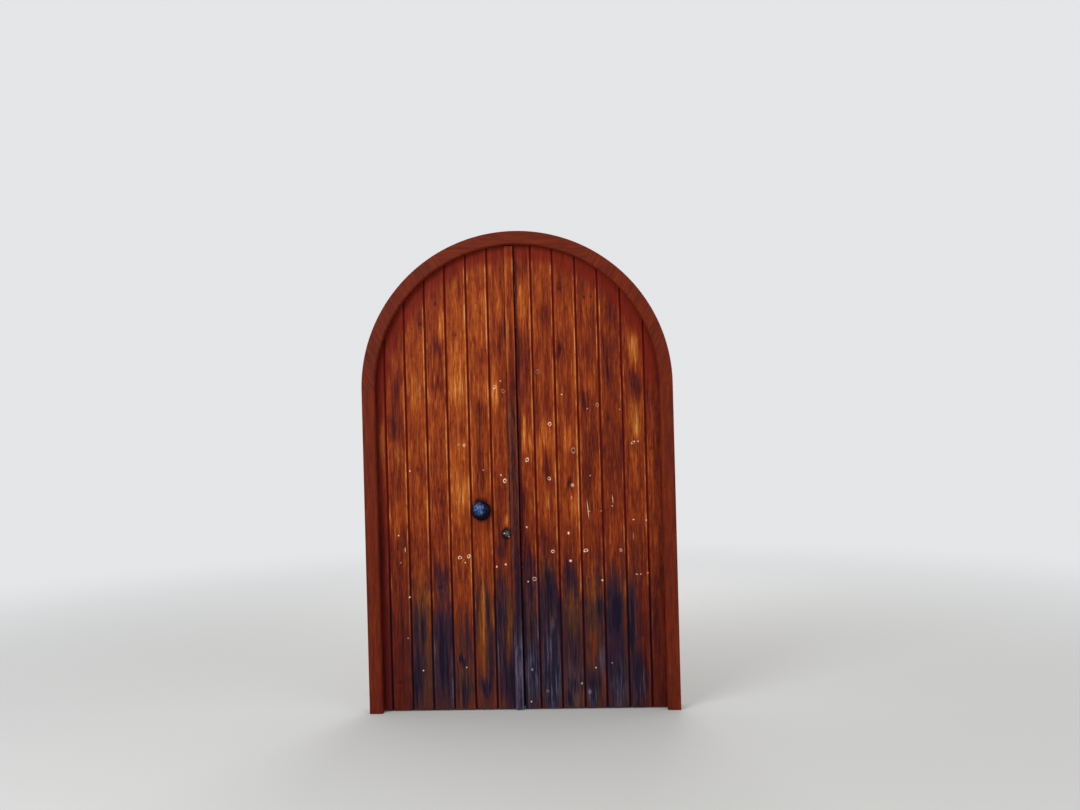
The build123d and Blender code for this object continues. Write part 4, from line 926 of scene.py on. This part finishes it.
# The stile's section with eased arrises, from the foot to the arch.
def makeMeetingStile(wood):
    low, high, r = stile["left"], stile["right"], stile["ease"]
    front, back = door["boardBack"], door["leafBack"]
    outline = [
        (low + r, front), (high - r, front), (high, front + r), (high, back - r),
        (high - r, back), (low + r, back), (low, back - r), (low, front + r),
    ]
    x, y = np.array(outline).T
    z = archedHeights(x, door["leafRadius"], stile["rows"])
    mesh = sweptMesh("leftMeetingStile", x, y, z, {})
    fitPiece(mesh, wood, "left_leaf", "left_meeting_stile")


# Gives a material to every CAD node whose name ends in one of the endings.
def dress(endings, material):
    for name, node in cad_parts.items():
        if name.endswith(endings):
            node.data.materials.clear()
            node.data.materials.append(material)


# Wood by the direction of its grain, and the ironwork, on the CAD nodes that stay.
def makeFinishes():
    upright = makeJoineryWood("framingStiles", 0.56, 0, meeting=True)
    dress("_stile", upright)
    makeMeetingStile(upright)
    dress("_jamb", makeJoineryWood("frameJambs", 0.38, 0))
    dress("left_haunch", makeJoineryWood("frameLeftHaunch", 0.37, 30))
    dress("right_haunch", makeJoineryWood("frameRightHaunch", 0.39, -30))
    dress(("crown_segment", "frame_loose_tenons"), makeJoineryWood("frameCrown", 0.38, 90))
    dress(("bottom_rail", "lock_rail", "top_rail"), makeJoineryWood("framingRails", 0.55, 90))
    dress("left_arch_rail", makeJoineryWood("framingLeftArch", 0.55, 45))
    dress("right_arch_rail", makeJoineryWood("framingRightArch", 0.55, -45))
    dress(("_strap", "_pintle", "_nails", "_keeper", "bolt_guides", "knob_nut"), forgedIron)
    dress("knob_rose", knobIron)
    dress("cylinder_plug", plugMetal)
    dress("lock_case", casePaint)
    dress(("lock_bolt", "top_bolt_rod", "bottom_bolt_rod"), boltMetal)


makeFinishes()
print("finishes")

# Floor, light and camera. A lamp is (name, place, width, watts, colour)
studio = {
    "floor": paint(214, 213, 210),
    "floorReach": 40,
    "paleBlue": (0.97, 0.985, 1, 1),
    "backdrop": 0.80,
    "sky": 0.62,
    "lampAim": (0, 0, 1.0),
    "lamps": [
        ("upperLeftLamp", (-2.6, -4.0, 3.6), 2.6, 130, (0.93, 0.97, 1)),
        ("rightLamp", (3.4, -3.6, 2.4), 2.0, 22, (1, 0.97, 0.93)),
        ("backLamp", (0.5, 4.2, 3.2), 2.4, 70, (1, 1, 1)),
    ],
    "camera": (0.35, -5.214, 1.395),
    "yaw": 2.7,
    "roll": -1.5,
    "lens": 37.9,
}


# A pale floor that fades into a glow of the backdrop's strength with the distance.
def makeFloor():
    reach = studio["floorReach"]
    corners = [(-reach, -reach, 0), (reach, -reach, 0), (reach, reach, 0), (-reach, reach, 0)]
    mesh = bpy.data.meshes.new("floor")
    mesh.from_pydata(corners, [], [(0, 1, 2, 3)])
    floor = addObject("floor", mesh)
    settings = {"Base Color": studio["floor"], "Roughness": 0.9, "Specular IOR Level": 0.1}
    material, tree, shader = newMaterial("studioFloor", settings)
    glow = addNode(tree, "Emission", {"Color": studio["paleBlue"], "Strength": studio["backdrop"]})
    fade = remap(lengthOf(objectPlace(tree)), 1.6, 6.5)
    faded = addNode(tree, "MixShader", {0: fade, 1: shader.outputs[0], 2: glow.outputs[0]})
    setInput(tree.nodes["Material Output"].inputs["Surface"], faded.outputs[0])
    mesh.materials.append(material)


# An even sky for the light, and the backdrop for what the camera, glass and reflections see.
def makeSky():
    world = bpy.data.worlds.new("studioSky")
    bpy.context.scene.world = world
    world.use_nodes = True
    tree = world.node_tree
    tree.nodes.clear()
    rays = addNode(tree, "LightPath").outputs
    seen = combine("MAXIMUM", rays["Is Camera Ray"], rays["Is Transmission Ray"])
    seen = combine("MAXIMUM", seen, rays["Is Glossy Ray"])
    light = addNode(tree, "Background", {"Color": studio["paleBlue"], "Strength": studio["sky"]})
    shown = addNode(tree, "Background", {"Color": studio["paleBlue"], "Strength": studio["backdrop"]})
    mixed = addNode(tree, "MixShader", {0: seen, 1: light.outputs[0], 2: shown.outputs[0]})
    addNode(tree, "OutputWorld", {"Surface": mixed.outputs[0]})


# A large soft lamp at the upper left, a weak one at the right and one behind, each aimed at the door.
def makeLamps():
    for name, place, width, watts, colour in studio["lamps"]:
        lamp = bpy.data.lights.new(name, "AREA")
        lamp.size = width
        lamp.energy = watts
        lamp.color = colour
        holder = addObject(name, lamp)
        holder.location = place
        aim = Vector(studio["lampAim"]) - Vector(place)
        holder.rotation_euler = aim.to_track_quat("-Z", "Y").to_euler()


# The photo's camera: level, turned about the upright by its yaw, and then about its own line of sight.
def makeCamera():
    camera = bpy.data.cameras.new("photoCamera")
    camera.lens = studio["lens"]
    holder = addObject("photoCamera", camera)
    turn = (
        Matrix.Rotation(math.radians(studio["yaw"]), 4, "Z")
        @ Matrix.Rotation(math.radians(90), 4, "X")
        @ Matrix.Rotation(math.radians(studio["roll"]), 4, "Z")
    )
    holder.matrix_world = Matrix.Translation(studio["camera"]) @ turn
    bpy.context.scene.camera = holder
    bpy.context.scene.view_settings.view_transform = "Standard"


makeFloor()
makeSky()
makeLamps()
makeCamera()
print("studio")
